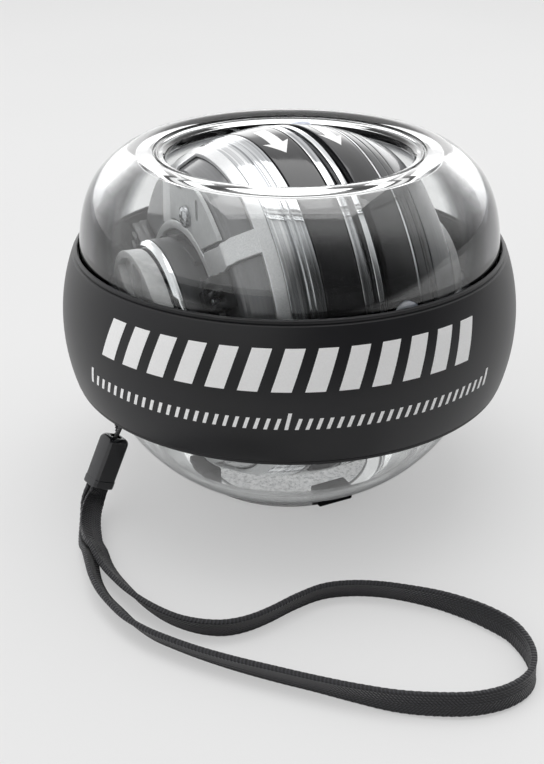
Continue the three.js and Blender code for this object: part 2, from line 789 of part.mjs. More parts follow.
const lensHoleTop = lensFoot + 2 * skinThickness;
const lensHole = lensSolid(lensRadius + fitGap, lensFoot - skinThickness, lensHoleTop, false);
const lensHoles = evenly(lensCount).map((i) => spun(lensHole, lensAngle(i)));
add(rotorFrame, 'right_panel', cut(skinBetween(rightPanelEdgeShares), ...lensHoles), darkPanel);
evenly(lensCount).forEach((i) => {
  const lens = lensSolid(lensRadius, lensFoot, lensFoot + skinThickness + lensProud, true);
  add(rotorFrame, `light_lens_${i + 1}`, spun(lens, lensAngle(i)), lensWhite);
});

// A cup of the rotor's skin that runs from a place on the axle out to the end, and in across the end wall.
function endCup(from, side, proud, wall, bore, end, corner) {
  const steps = skinSteps;
  const outer = [];
  const inner = [];
  for (let i = 0; i <= steps; i += 1) {
    const place = from + (end - wall - from) * i / steps;
    outer.push([rotorSkinRadius(place) + proud, side * place]);
    inner.unshift([rotorSkinRadius(place) + proud - wall, side * place]);
  }
  const rim = rotorSkinRadius(end) + proud;
  const bevel = corner * cornerShare;
  const face = [[rim - bevel, side * (end - bevel)], [rim - corner, side * end]];
  return ring([...outer, ...face, [bore, side * end], [bore, side * (end - wall)], ...inner], rotorSegments);
}

const hoopLeft = -hoopEdgeShares[0] * rotorHalfWidth;
const hoopRight = -hoopEdgeShares[1] * rotorHalfWidth + seamGap / 2;
const wallBore = bushOuter + fitGap;
const screwHole = screwRadius + fitGap;

function sectorAngle(phase, count, i) {
  return phase * degree + i * fullTurn / count;
}

function screwBores(place, phase, side) {
  return evenly(screwCount).map((i) => {
    const bore = rod(screwHole, rotorHalfWidth - endWall - screwLength, rotorHalfWidth + screwLength);
    if (side < 0) bore.rotateX(Math.PI);
    return spun(bore.translate(place, 0, 0), sectorAngle(phase, screwCount, i));
  });
}

const leftBores = screwBores(leftScrewPlace, screwPhaseDegrees, -1);
const rightBores = screwBores(rightScrewPlace, screwPhaseDegrees, 1);

const housing = endCup(hoopRight, -1, -windowRecess, endWall, wallBore, rotorHalfWidth, fitGap);
add(rotorFrame, 'left_housing', cut(housing, ...leftBores), smoke);
const rightStart = smokeEdgeShares[1] * rotorHalfWidth + seamGap / 2;
const endRing = endCup(rightStart, 1, 0, skinThickness, wallBore, rotorHalfWidth, skinThickness);
add(rotorFrame, 'right_end_cup', cut(endRing, ...rightBores), smoke);

// The track of one arm, seen along the axle: out to an elbow along a radius, and from there in to the
// small hoop at a lean.
function armTrack(grow, low, high) {
  const elbow = rotorEndRadius * armElbowShare;
  const width = armWidth + 2 * grow;
  const middle = (low + high) / 2;
  const outer = block(rotorRadius, width, high - low, elbow + rotorRadius / 2, 0, middle);
  const length = elbow - cageHubRadius - cageHubWidth / 2;
  const reach = length / Math.cos(armLeanDegrees * degree);
  const inner = block(reach, width, high - low, -reach / 2, 0, middle);
  inner.rotateZ(armLeanDegrees * degree).translate(elbow, 0, 0);
  const bend = rod(width / 2, low, high).translate(elbow, 0, 0);
  return join(outer, inner, bend);
}

function armAngle(i) {
  return sectorAngle(armPhaseDegrees, armCount, i);
}

// The cage is a hoop, six arms that bend over the edge, and a small hoop round the barrel.
function cage() {
  const bend = endCup(hoopRight, -1, hoopProud, cageThickness, cageHubRadius, cageFace, cageThickness / 2);
  const track = armTrack(0, -2 * rotorHalfWidth, 0);
  const arms = evenly(armCount).map((i) => common(bend, spun(track, armAngle(i))));
  const steps = 2;
  const outline = [];
  for (let i = 0; i <= steps; i += 1) {
    const place = -hoopLeft + (hoopLeft - hoopRight) * i / steps;
    outline.push([rotorSkinRadius(place) + hoopProud, place]);
  }
  for (let i = steps; i >= 0; i -= 1) {
    const place = -hoopLeft + (hoopLeft - hoopRight) * i / steps;
    outline.push([rotorSkinRadius(place) + hoopProud - cageThickness, place]);
  }
  const hoop = ring(outline, rotorSegments);
  const hub = collar(cageHubRadius, cageHubRadius + cageHubWidth, -cageFace, -cageFace + cageThickness);
  return join(hoop, hub, ...arms);
}

add(rotorFrame, 'silver_cage', cage(), satinSilver);

// Three pale plates close every second gap between the arms. A plate is cut from a flat collar.
function endPlate() {
  const inner = cageHubRadius + cageHubWidth + seamGap;
  const outer = rotorEndRadius + hoopProud - cageThickness - seamGap;
  const face = -rotorHalfWidth - fitGap;
  const low = face - plateThickness;
  const halfSector = fullTurn / armCount / 2;
  const sector = new THREE.Shape();
  sector.moveTo(0, 0);
  [-halfSector, halfSector].forEach((angle) => {
    const side = angle - plateTurnDegrees * degree;
    sector.lineTo(2 * outer * Math.cos(side), 2 * outer * Math.sin(side));
  });
  sector.closePath();
  const wedge = new THREE.ExtrudeGeometry(sector, { depth: rotorHalfWidth, bevelEnabled: false });
  wedge.translate(0, 0, low - rotorHalfWidth / 2);
  const track = armTrack(seamGap, low - fitGap, face + fitGap);
  const tracks = [-halfSector, halfSector].map((angle) => spun(track, angle));
  return cut(common(collar(inner, outer, low, face), wedge), ...tracks);
}

evenly(screwCount).forEach((i) => {
  const plate = spun(endPlate(), sectorAngle(platePhaseDegrees, screwCount, i));
  add(rotorFrame, `end_plate_${i + 1}`, cut(plate, ...leftBores), paleGrey);
});

function screw(face, side) {
  const tip = face - screwLength;
  const solid = turned([
    [0, tip], [screwRadius, tip], [screwRadius, face], [screwHeadRadius, face],
    [screwHeadRadius, face + screwHeadHeight], [0, face + screwHeadHeight],
  ], smallSegments / 2);
  return side < 0 ? solid.rotateX(Math.PI) : solid;
}

const leftScrewFace = rotorHalfWidth + fitGap + plateThickness + fitGap / 2;
const rightScrewFace = rotorHalfWidth + fitGap / 2;
evenly(screwCount).forEach((i) => {
  const left = screw(leftScrewFace, -1).translate(leftScrewPlace, 0, 0);
  add(rotorFrame, `left_screw_${i + 1}`, spun(left, sectorAngle(screwPhaseDegrees, screwCount, i)), steel);
  const right = screw(rightScrewFace, 1).translate(rightScrewPlace, 0, 0);
  add(rotorFrame, `right_screw_${i + 1}`, spun(right, sectorAngle(screwPhaseDegrees, screwCount, i)), steel);
});

// A pawl stands on the housing beside the cage's small hoop, and its nose reaches in to the ratchet teeth.
function pawl() {
  const noseStart = ratchetRadius + endFloat;
  const footStart = cageHubRadius + cageHubWidth + seamGap;
  const footEnd = footStart + pawlWidth;
  const top = cageFace + fitGap + pawlThickness;
  const footLow = rotorHalfWidth + fitGap;
  const foot = block(pawlWidth, pawlWidth, top - footLow, (footStart + footEnd) / 2, 0, -(top + footLow) / 2);
  const noseLength = footStart + seamGap - noseStart;
  const noseMiddle = noseStart + noseLength / 2;
  const nose = block(noseLength, pawlWidth / 2, pawlThickness, noseMiddle, 0, -top + pawlThickness / 2);
  return join(foot, nose);
}

evenly(pawlCount).forEach((i) => {
  const name = `ratchet_pawl_${i + 1}`;
  add(rotorFrame, name, spun(pawl(), sectorAngle(pawlPhaseDegrees, pawlCount, i)), blackMoulding);
});

// Right hub, coil and light board

const hubFar = seatNear - endFloat;
const coilFar = seatNear - 2 * endFloat;
const hubWaist = (axleRadius + hubRadius) / 2;
add(rotorFrame, 'right_hub', ring([
  [axleRadius + fitGap, rotorHalfWidth + fitGap], [hubRadius + coilLength, rotorHalfWidth + fitGap],
  [hubRadius + coilLength / 2, rotorHalfWidth + coilLength / 2], [hubRadius, rotorHalfWidth + coilLength],
  [hubRadius, coilFar], [hubWaist, hubFar], [axleRadius + fitGap, hubFar],
], rotorSegments), chrome);
const coilInner = hubRadius + fitGap;
add(rotorFrame, 'pickup_coil', collar(coilInner, coilOuterRadius, coilFar - coilLength, coilFar), paleTape);

const boardNear = coreRight + fitGap;
const boardFar = boardNear + boardThickness;
const boardOuter = rotorSkinRadius(boardFar) - skinThickness - 2 * fitGap;
add(rotorFrame, 'light_board', collar(wallBore, boardOuter, boardNear, boardFar), boardGreen);

// Strap
// The string loops through the eye, the connector hangs from it, and the ribbon leaves the connector's foot.

const eyeAzimuth = eyeAzimuthDegrees * degree;
const outward = new THREE.Vector3(Math.cos(eyeAzimuth), Math.sin(eyeAzimuth), 0);
const sideways = new THREE.Vector3(-Math.sin(eyeAzimuth), Math.cos(eyeAzimuth), 0);
const upward = new THREE.Vector3(0, 0, 1);
const eyeCentre = outward.clone().multiplyScalar(eyeHoleReach)
  .add(upward.clone().multiplyScalar(equatorHeight + eyeHoleHeight));
const slope = new THREE.Vector3(...connectorSlope).normalize();
const facing = new THREE.Vector3(...connectorFacing);
facing.addScaledVector(slope, -facing.dot(slope)).normalize();
const across = new THREE.Vector3().crossVectors(facing, slope);
const connectorTop = eyeCentre.clone().addScaledVector(outward, -connectorInset)
  .addScaledVector(sideways, -connectorBeside).addScaledVector(upward, -connectorDrop);
const strandApart = new THREE.Vector3(...strandDirection).normalize();

function stringLoop() {
  const side = eyeThickness / 2 + stringRadius;
  const beside = (along) => eyeCentre.clone().addScaledVector(sideways, along);
  const at = (along, rise) => beside(along).addScaledVector(upward, rise);
  const start = connectorTop.clone().addScaledVector(slope, strapGap);
  const end = (along, rise) => start.clone().addScaledVector(strandApart, along).addScaledVector(slope, rise);
  const apart = stringRadius + fitGap;
  const below = -2 * eyeHoleRadius;
  const half = [
    end(apart, 0), end(apart, stringRadius), at(side + fitGap, below), at(side + fitGap, below / 2),
    at(side - fitGap, -stringRadius / 2), at(eyeThickness / 2 - fitGap, 0),
  ];
  const mirrored = [
    at(fitGap - eyeThickness / 2, 0), at(fitGap - side, -stringRadius / 2), at(-side - fitGap, below / 2),
    at(-side - fitGap, below), end(-apart, stringRadius), end(-apart, 0),
  ];
  const route = new THREE.CatmullRomCurve3([...half, ...mirrored], false, 'catmullrom', 0.5);
  const section = new THREE.Shape();
  section.absarc(0, 0, stringRadius, 0, fullTurn, false);
  const options = { steps: stringSteps, curveSegments: stringSegments, extrudePath: route };
  return new THREE.ExtrudeGeometry(section, options);
}

function weldClose(geometry) {
  return faceOut(weld(geometry));
}

const strap = new THREE.Group();
model.add(strap);
add(strap, 'strap_string', weldClose(stringLoop()), blackNylon);

function connector() {
  const half = connectorWidth / 2;
  const deep = connectorDepth / 2;
  const c = connectorChamfer;
  const shape = new THREE.Shape();
  [[-half + c, -deep], [half - c, -deep], [half, -deep + c], [half, deep - c],
    [half - c, deep], [-half + c, deep], [-half, deep - c], [-half, -deep + c]]
    .forEach(([x, y], i) => (i === 0 ? shape.moveTo(x, y) : shape.lineTo(x, y)));
  shape.closePath();
  const body = new THREE.ExtrudeGeometry(shape, { depth: connectorLength, bevelEnabled: false });
  body.translate(0, 0, -connectorLength);
  return weldClose(body);
}

const connectorMesh = add(strap, 'strap_connector', connector(), blackMoulding);
const connectorBasis = new THREE.Matrix4().makeBasis(across, facing.clone().negate(), slope);
connectorMesh.quaternion.setFromRotationMatrix(connectorBasis);
connectorMesh.position.copy(connectorTop);

// The ribbon's route, chosen by hand: the middle of the ribbon from the connector, round the loop and back.
// The fourth number is how far the ribbon leans over to the left of its way, in degrees from upright.
const ribbonRoute = [
  [-30.35, -17.84, 4.7, -76], [-30.78, -18.18, 3.63, -76], [-31, -19.3, 2.51, -78],
  [-30.79, -21.16, 1.66, -80], [-30.53, -23.53, 1.12, -80], [-30.2, -26.29, 0.92, -75],
  [-29.67, -29.57, 1.25, -58], [-28.97, -32.27, 1.67, -38], [-28.15, -35.28, 1.75, -30],
  [-27.16, -38.2, 1.75, -30], [-25.57, -41.31, 1.71, -34], [-23.41, -44.21, 1.66, -39],
  [-21.2, -46.86, 1.67, -38], [-18.19, -49.49, 1.73, -32], [-15.08, -51.36, 1.75, -30],
  [-11.27, -53.31, 1.76, -28], [-6.64, -55.29, 1.78, -24], [-1.51, -57.16, 1.8, -20],
  [3.49, -58.83, 1.81, -18], [8.39, -60.42, 1.81, -10], [13.2, -61.67, 1.77, 2],
  [17.65, -62.22, 1.81, 10], [22.26, -62.15, 1.81, 13], [26.06, -61.19, 1.81, 12],
  [28.8, -59.59, 1.81, 10], [30.55, -57.6, 1.79, 6], [31.31, -55.38, 1.77, 2],
  [31.36, -53.14, 1.78, -4], [30.79, -50.75, 1.81, -10], [29.6, -48.28, 1.81, -15],
  [27.32, -46, 1.81, -17], [24.65, -44.06, 1.8, -8], [21.07, -42.14, 1.78, 4],
  [17.07, -40.79, 1.81, 14], [12.96, -39.85, 1.81, 18], [8.77, -39.68, 1.81, 18],
  [4.83, -40.49, 1.81, 18], [1.19, -42.7, 1.81, 18], [-2.35, -45.53, 1.81, 18],
  [-5.26, -47.39, 1.81, 18], [-8.17, -48.34, 1.81, 18], [-11.11, -48.21, 1.8, 20],
  [-14.14, -47.24, 1.78, 24], [-17.02, -45.51, 1.77, 26], [-19.76, -43.14, 1.74, 31],
  [-22.03, -40.62, 1.68, 37], [-23.93, -38.14, 1.64, 40], [-25.47, -35.9, 1.62, 42],
  [-26.75, -33.72, 1.84, 44], [-27.85, -31.39, 2.29, 50], [-29, -29.34, 2.37, 58],
  [-29.87, -26.22, 2.2, 75], [-30.29, -23.68, 2.4, 80], [-30.37, -21.49, 2.86, 80],
  [-30.17, -19.85, 3.3, 78], [-29.89, -19.02, 3.88, 76], [-29.57, -18.76, 4.68, 76],
];
const ribbonTwistLength = 7;

function ribbon() {
  const route = new THREE.CatmullRomCurve3(ribbonRoute.map(([x, y, z]) => new THREE.Vector3(x, y, z)));
  const leans = new THREE.CatmullRomCurve3(ribbonRoute.map((place) => new THREE.Vector3(place[3], 0, 0)));
  [route, leans].forEach((curve) => {
    curve.curveType = 'catmullrom';
    curve.tension = 0.5;
  });
  const steps = (ribbonRoute.length - 1) * ribbonStepsPerPlace;
  const lengths = route.getLengths(steps);
  const length = lengths[steps];
  const thin = ribbonThickness / 2;
  const wide = ribbonWidth / 2;
  const c = ribbonThickness / 4;
  const section = [[-thin + c, -wide], [thin - c, -wide], [thin, -wide + c], [thin, wide - c],
    [thin - c, wide], [-thin + c, wide], [-thin, wide - c], [-thin, -wide + c]];
  const places = [];
  for (let i = 0; i <= steps; i += 1) {
    const middle = route.getPoint(i / steps);
    const along = route.getTangent(i / steps);
    const lean = leans.getPoint(i / steps).x * degree;
    const beside = new THREE.Vector3().crossVectors(upward, along).normalize();
    const upright = new THREE.Vector3().crossVectors(along, beside);
    const fromEnd = Math.min(lengths[i], length - lengths[i]);
    const twist = THREE.MathUtils.smoothstep(fromEnd, 0, ribbonTwistLength);
    const edge = beside.multiplyScalar(Math.sin(lean)).addScaledVector(upright, Math.cos(lean));
    edge.multiplyScalar(twist).addScaledVector(across, 1 - twist);
    edge.addScaledVector(along, -edge.dot(along)).normalize();
    const face = new THREE.Vector3().crossVectors(edge, along).normalize();
    section.forEach(([x, y]) => {
      const corner = middle.clone().addScaledVector(face, x).addScaledVector(edge, y);
      places.push(corner.x, corner.y, corner.z);
    });
  }
  console.log('length of the ribbon loop, mm:', length.toFixed(1));
  return tube(places, section.length);
}

add(strap, 'strap_ribbon', ribbon(), blackNylon);

export default model;
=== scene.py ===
# %% [markdown]
# # A gyroscopic wrist ball
# The object is a ball for the hand: a clear two-part casing with a soft grip band round its middle.
# Inside, a ring turns in a race at the equator, the ring carries an axle, and a heavy rotor spins on it.
# The CAD part comes first and holds every size, body and joint. This script dresses it: most pieces are
# modelled again with their real edges and finish, in the same place, and ride on the same body; seven solids
# deep inside keep their CAD shape and only get a finish.

# %% The CAD part as the frame
import math

import bmesh
import bpy
import numpy as np
from mathutils import Matrix, Vector


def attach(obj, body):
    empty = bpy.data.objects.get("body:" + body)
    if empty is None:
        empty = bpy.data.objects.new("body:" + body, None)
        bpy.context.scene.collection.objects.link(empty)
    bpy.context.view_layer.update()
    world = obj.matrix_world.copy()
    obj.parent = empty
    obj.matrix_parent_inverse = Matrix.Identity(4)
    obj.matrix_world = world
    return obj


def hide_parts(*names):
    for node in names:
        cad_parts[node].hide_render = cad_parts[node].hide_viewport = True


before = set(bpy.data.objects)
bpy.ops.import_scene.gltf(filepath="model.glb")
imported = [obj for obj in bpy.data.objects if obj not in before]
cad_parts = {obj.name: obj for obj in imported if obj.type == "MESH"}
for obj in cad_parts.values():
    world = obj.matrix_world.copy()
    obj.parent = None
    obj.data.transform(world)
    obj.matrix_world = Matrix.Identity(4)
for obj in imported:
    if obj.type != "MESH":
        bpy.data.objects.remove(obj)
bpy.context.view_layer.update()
MM = 0.001

# %% [markdown]
# ## Camera
# The picture was taken from a little above the ball and close to it, so the near side looks larger.
# The camera stands where the outlines of the band, the mouth and the bowl fall on those of the picture.
# A camera is a place and three directions; here they start level and are turned by small angles.

# %% Camera
EQUATOR = 29.284
SENSOR_WIDTH, PICTURE_HEIGHT, FOCAL_LENGTH_PIXELS = 36, 764, 1084.89
ELEVATION, ROLL, YAW, PITCH = (math.radians(degrees) for degrees in (22.432, -0.21, 0.87, -4.428))
DISTANCE = 175.79
camera_data = bpy.data.cameras.new("camera")
camera_data.sensor_width = SENSOR_WIDTH
camera_data.lens = SENSOR_WIDTH * FOCAL_LENGTH_PIXELS / PICTURE_HEIGHT
camera_data.clip_start = 0.01
camera = bpy.data.objects.new("camera", camera_data)
bpy.context.scene.collection.objects.link(camera)


def place_camera(elevation, distance, roll, yaw, pitch):
    place = Vector((0, -math.cos(elevation), math.sin(elevation))) * distance
    forward = -place.normalized()
    right = Vector((1, 0, 0))
    up = right.cross(forward)
    turn = Matrix.Rotation(yaw, 3, up)
    forward, right = turn @ forward, turn @ right
    turn = Matrix.Rotation(pitch, 3, right)
    forward, up = turn @ forward, turn @ up
    turn = Matrix.Rotation(roll, 3, forward)
    right, up = turn @ right, turn @ up
    basis = Matrix((right, up, -forward)).transposed().to_4x4()
    camera.matrix_world = Matrix.Translation((place + Vector((0, 0, EQUATOR))) * MM) @ basis


place_camera(ELEVATION, DISTANCE, ROLL, YAW, PITCH)
bpy.context.scene.camera = camera
print("camera at", [round(value, 3) for value in camera.matrix_world.translation])

# %% [markdown]
# ## Two frames to model in
# Round pieces of the casing and the ring turn about the upright axis through the ball's middle.
# Pieces of the rotor turn about the axle, which lies level and points 27 degrees to the back at the right.
# A matrix for each frame lets every piece be drawn about its own Z axis, and the shaders use that axis too.

# %% Frames
AXLE_YAW = math.radians(27)
casing_frame = Matrix.Translation((0, 0, EQUATOR * MM))
axle_direction = Vector((math.cos(AXLE_YAW), math.sin(AXLE_YAW), 0))
front_direction = Vector((math.sin(AXLE_YAW), -math.cos(AXLE_YAW), 0))
axle_turn = Matrix((Vector((0, 0, 1)), front_direction, axle_direction)).transposed().to_4x4()
rotor_frame = casing_frame @ axle_turn
world_frame = Matrix.Identity(4)
FRAMES = {"casing": casing_frame, "ring": casing_frame, "axle": rotor_frame, "rotor": rotor_frame}
print("axle points to", [round(value, 3) for value in axle_direction])

# %% [markdown]
# ## From a list of corners to a mesh
# Every piece goes through these two functions. The first makes a mesh from corners in millimetres, joins
# the corners that meet and turns the faces outward. The second shades it smooth with sharp edges kept,
# gives it its material, puts it in its frame and lets it ride on its body. Meshes are in metres.

# %% Making a piece
def clean_mesh(vertices, faces, name="part"):
    mesh = bpy.data.meshes.new(name)
    mesh.from_pydata([(x * MM, y * MM, z * MM) for x, y, z in vertices], [], faces)
    shape = bmesh.new()
    shape.from_mesh(mesh)
    bmesh.ops.remove_doubles(shape, verts=shape.verts, dist=2e-7)
    bmesh.ops.dissolve_degenerate(shape, edges=shape.edges, dist=1e-7)
    bmesh.ops.recalc_face_normals(shape, faces=shape.faces)
    shape.to_mesh(mesh)
    shape.free()
    return mesh


def dress(name, mesh, body, material, replaces=(), sharp=35, at=None):
    mesh.shade_smooth()
    mesh.set_sharp_from_angle(angle=math.radians(sharp))
    mesh.materials.clear()
    mesh.materials.append(material)
    piece = bpy.data.objects.new(name, mesh)
    bpy.context.scene.collection.objects.link(piece)
    piece.matrix_world = FRAMES[body] if at is None else at
    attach(piece, body)
    if replaces:
        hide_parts(*replaces)
    return piece


print("bodies:", ", ".join(FRAMES))

# %% [markdown]
# ## Materials from nodes
# One function adds a node: its settings are given by name, and its inputs by a value or another socket.
# A noise takes its places in metres from the piece itself, so its grain has a real size.
# Colours are written as sRGB hex, as in a paint program, and turned to linear light by one function.

# %% Colours and nodes
def linear(hex_colour):
    channels = [int(hex_colour[i:i + 2], 16) / 255 for i in (1, 3, 5)]
    return [c / 12.92 if c <= 0.04045 else ((c + 0.055) / 1.055) ** 2.4 for c in channels] + [1.0]


def add_node(material, kind, inputs=None, **settings):
    node = material.node_tree.nodes.new("ShaderNode" + kind)
    for key, value in settings.items():
        setattr(node, key, value)
    for key, value in (inputs or {}).items():
        if isinstance(value, bpy.types.NodeSocket):
            material.node_tree.links.new(value, node.inputs[key])
        else:
            node.inputs[key].default_value = value
    if kind in ("TexNoise", "TexVoronoi") and not node.inputs["Vector"].is_linked:
        places = material.node_tree.nodes.new("ShaderNodeTexCoord")
        material.node_tree.links.new(places.outputs["Object"], node.inputs["Vector"])
    return node


def colour_steps(material, factor, *stops):
    ramp = add_node(material, "ValToRGB", {"Fac": factor})
    elements = ramp.color_ramp.elements
    while len(elements) < len(stops):
        elements.new(0.5)
    for element, (place, hex_colour) in zip(elements, stops):
        element.position = place
        element.color = linear(hex_colour)
    return ramp.outputs["Color"]


print("mid grey as linear light:", round(linear("#808080")[0], 3))

# %% [markdown]
# Every material starts as one Principled shader with its typical values, and outputs are wired into it.
# A moulded, cast or printed surface is never quite even. The last function gives it a grain, told as
# the number of grains in each mm. It tints the colour by a few shades and, where it can be felt, raises the
# surface a little. Real moulding grain is under 0.1 mm across, too fine to show, so it is drawn 0.2 to
# 1.3 mm across here.

# %% A material and its grain
def new_material(name, **values):
    material = bpy.data.materials.new(name)
    material.use_nodes = True
    shader = material.node_tree.nodes["Principled BSDF"]
    for key, value in values.items():
        shader.inputs[key.replace("_", " ")].default_value = value
    return material


def wire(material, **outputs):
    shader = material.node_tree.nodes["Principled BSDF"]
    for key, output in outputs.items():
        material.node_tree.links.new(output, shader.inputs[key.replace("_", " ")])


def raise_surface(material, height, strength, depth_mm):
    bump = add_node(material, "Bump", {"Height": height, "Strength": strength, "Distance": depth_mm * MM})
    wire(material, Normal=bump.outputs["Normal"])


def give_grain(material, per_mm, *stops, detail=3.0, harshness=0.5, relief=0.0, depth_mm=0.05):
    noise = add_node(material, "TexNoise", {"Scale": per_mm / MM, "Detail": detail,
                                            "Roughness": harshness})
    grain = noise.outputs["Fac"]
    wire(material, Base_Color=colour_steps(material, grain, *stops))
    if relief:
        raise_surface(material, grain, relief, depth_mm)
    return grain


print("two grains in each mm are a noise of scale", 2 / MM)

# %% [markdown]
# ## The strap comes first
# The strap is a flat woven nylon ribbon, 3.2 mm wide and 0.8 mm thick, doubled into one loop. Both ends go
# into a small black connector, which hangs from the ball on a thin cord. Its whole length is in view:
# the loop is about 184 mm long. The route is a list of places; one smooth curve runs through them. The
# fourth number of a place is how far the ribbon leans over to the left of its way, in degrees.

# %% The ribbon's route
RIBBON_ROUTE = [
    (-30.35, -17.84, 4.7, -76), (-30.78, -18.18, 3.63, -76), (-31, -19.3, 2.51, -78),
    (-30.79, -21.16, 1.66, -80), (-30.53, -23.53, 1.12, -80), (-30.2, -26.29, 0.92, -75),
    (-29.67, -29.57, 1.25, -58), (-28.97, -32.27, 1.67, -38), (-28.15, -35.28, 1.75, -30),
    (-27.16, -38.2, 1.75, -30), (-25.57, -41.31, 1.71, -34), (-23.41, -44.21, 1.66, -39),
    (-21.2, -46.86, 1.67, -38), (-18.19, -49.49, 1.73, -32), (-15.08, -51.36, 1.75, -30),
    (-11.27, -53.31, 1.76, -28), (-6.64, -55.29, 1.78, -24), (-1.51, -57.16, 1.8, -20),
    (3.49, -58.83, 1.81, -18), (8.39, -60.42, 1.81, -10), (13.2, -61.67, 1.77, 2),
    (17.65, -62.22, 1.81, 10), (22.26, -62.15, 1.81, 13), (26.06, -61.19, 1.81, 12),
    (28.8, -59.59, 1.81, 10), (30.55, -57.6, 1.79, 6), (31.31, -55.38, 1.77, 2), (31.36, -53.14, 1.78, -4),
    (30.79, -50.75, 1.81, -10), (29.6, -48.28, 1.81, -15), (27.32, -46, 1.81, -17),
    (24.65, -44.06, 1.8, -8), (21.07, -42.14, 1.78, 4), (17.07, -40.79, 1.81, 14),
    (12.96, -39.85, 1.81, 18), (8.77, -39.68, 1.81, 18), (4.83, -40.49, 1.81, 18), (1.19, -42.7, 1.81, 18),
    (-2.35, -45.53, 1.81, 18), (-5.26, -47.39, 1.81, 18), (-8.17, -48.34, 1.81, 18),
    (-11.11, -48.21, 1.8, 20), (-14.14, -47.24, 1.78, 24), (-17.02, -45.51, 1.77, 26),
    (-19.76, -43.14, 1.74, 31), (-22.03, -40.62, 1.68, 37), (-23.93, -38.14, 1.64, 40),
    (-25.47, -35.9, 1.62, 42), (-26.75, -33.72, 1.84, 44), (-27.85, -31.39, 2.29, 50),
    (-29, -29.34, 2.37, 58), (-29.87, -26.22, 2.2, 75), (-30.29, -23.68, 2.4, 80),
    (-30.37, -21.49, 2.86, 80), (-30.17, -19.85, 3.3, 78), (-29.89, -19.02, 3.88, 76),
    (-29.57, -18.76, 4.68, 76),
]
RIBBON_WIDTH = 3.2
RIBBON_THICKNESS = 0.8
RIBBON_TWIST_LENGTH = 7.0
RIBBON_LENGTH_IN_CONNECTOR = 0.9
CONNECTOR_SLOPE = np.array((0.355, 0.285, 0.89))


def smooth_through(points, steps):
    points = [np.array(point, float) for point in points]
    points = [2 * points[0] - points[1]] + points + [2 * points[-1] - points[-2]]
    places = []
    for before, start, end, after in zip(points, points[1:], points[2:], points[3:]):
        for share in np.arange(steps) / steps:
            leave, arrive = (end - before) / 2, (after - start) / 2
            places.append((2 * start - 2 * end + leave + arrive) * share ** 3
                          + (3 * end - 3 * start - 2 * leave - arrive) * share ** 2 + leave * share + start)
    return np.array(places + [points[-2]])


def evenly_spaced(places, count):
    lengths = np.r_[0, np.cumsum(np.linalg.norm(np.diff(places[:, :3], axis=0), axis=1))]
    wanted = np.linspace(0, lengths[-1], count)
    spaced = [np.interp(wanted, lengths, places[:, axis]) for axis in range(places.shape[1])]
    return np.stack(spaced, 1), float(lengths[-1])


ends = [np.array(place) for place in (RIBBON_ROUTE[0], RIBBON_ROUTE[-1])]
inside = [np.r_[end[:3] + CONNECTOR_SLOPE * RIBBON_LENGTH_IN_CONNECTOR, end[3]] for end in ends]
ribbon_places, ribbon_length = evenly_spaced(smooth_through([inside[0], *RIBBON_ROUTE, inside[1]], 24), 737)
ribbon_line, ribbon_lean = ribbon_places[:, :3], np.radians(ribbon_places[:, 3])
print("length of the ribbon loop, mm:", round(ribbon_length, 1))

# %% [markdown]
# The cord loops through an eye on the casing, below the band. These directions hang the connector from it:
# slope is up along the connector, facing is out of its front and across runs over its width.

# %% Where the connector hangs
EYE_AZIMUTH = math.radians(215)
EYE_THICKNESS, EYE_REACH, EYE_DROP = 1.2, 31.5, 11.65
STRING_RADIUS = 0.35
outward = Vector((math.cos(EYE_AZIMUTH), math.sin(EYE_AZIMUTH), 0))
sideways = Vector((-math.sin(EYE_AZIMUTH), math.cos(EYE_AZIMUTH), 0))
upward = Vector((0, 0, 1))
eye_centre = outward * EYE_REACH + upward * (EQUATOR - EYE_DROP)
slope = Vector(CONNECTOR_SLOPE).normalized()
facing = Vector((0.655, -0.756, 0))
strand_apart = Vector((0.2, -0.98, 0)).normalized()
facing = (facing - slope * facing.dot(slope)).normalized()
across = facing.cross(slope)
connector_top = eye_centre - outward * 0.45 - sideways * 2.45 - upward * 5.13
connector_turn = Matrix((across, -facing, slope)).transposed().to_4x4()
connector_frame = Matrix.Translation(connector_top * MM) @ connector_turn
print("connector's top, mm:", [round(value, 2) for value in connector_top])

# %% [markdown]
# ## Woven nylon
# The ribbon is narrow webbing: warp threads run along it and weft threads cross over and under them, and
# the weave shows as fine slanting ribs. The finish is dull and dark, with a soft sheen where the threads
# catch the light. Its colour is painted darker in the weave's grooves and lighter on the threads' crowns,
# painted shade and highlight, with a random fuzz of tone over it. Real threads are about 0.25 mm apart; the
# ribs here are 0.5 mm apart, so that they show.
# The pattern follows the ribbon by its UV map, which holds millimetres along and across the ribbon.

# %% Woven nylon webbing
RIB_SPACING, WARP_SPACING, FUZZ_GRAIN = 0.5, 0.36, 0.4
nylon_webbing = new_material("nylon_webbing_woven", Roughness=0.72, IOR=1.53, Sheen_Weight=0.25,
                             Sheen_Roughness=0.4)


def thread_wave(place, spacing_mm):
    turns = add_node(nylon_webbing, "Math", {0: place, 1: 2 * math.pi / spacing_mm}, operation="MULTIPLY")
    return add_node(nylon_webbing, "Math", {0: turns.outputs[0]}, operation="SINE").outputs[0]


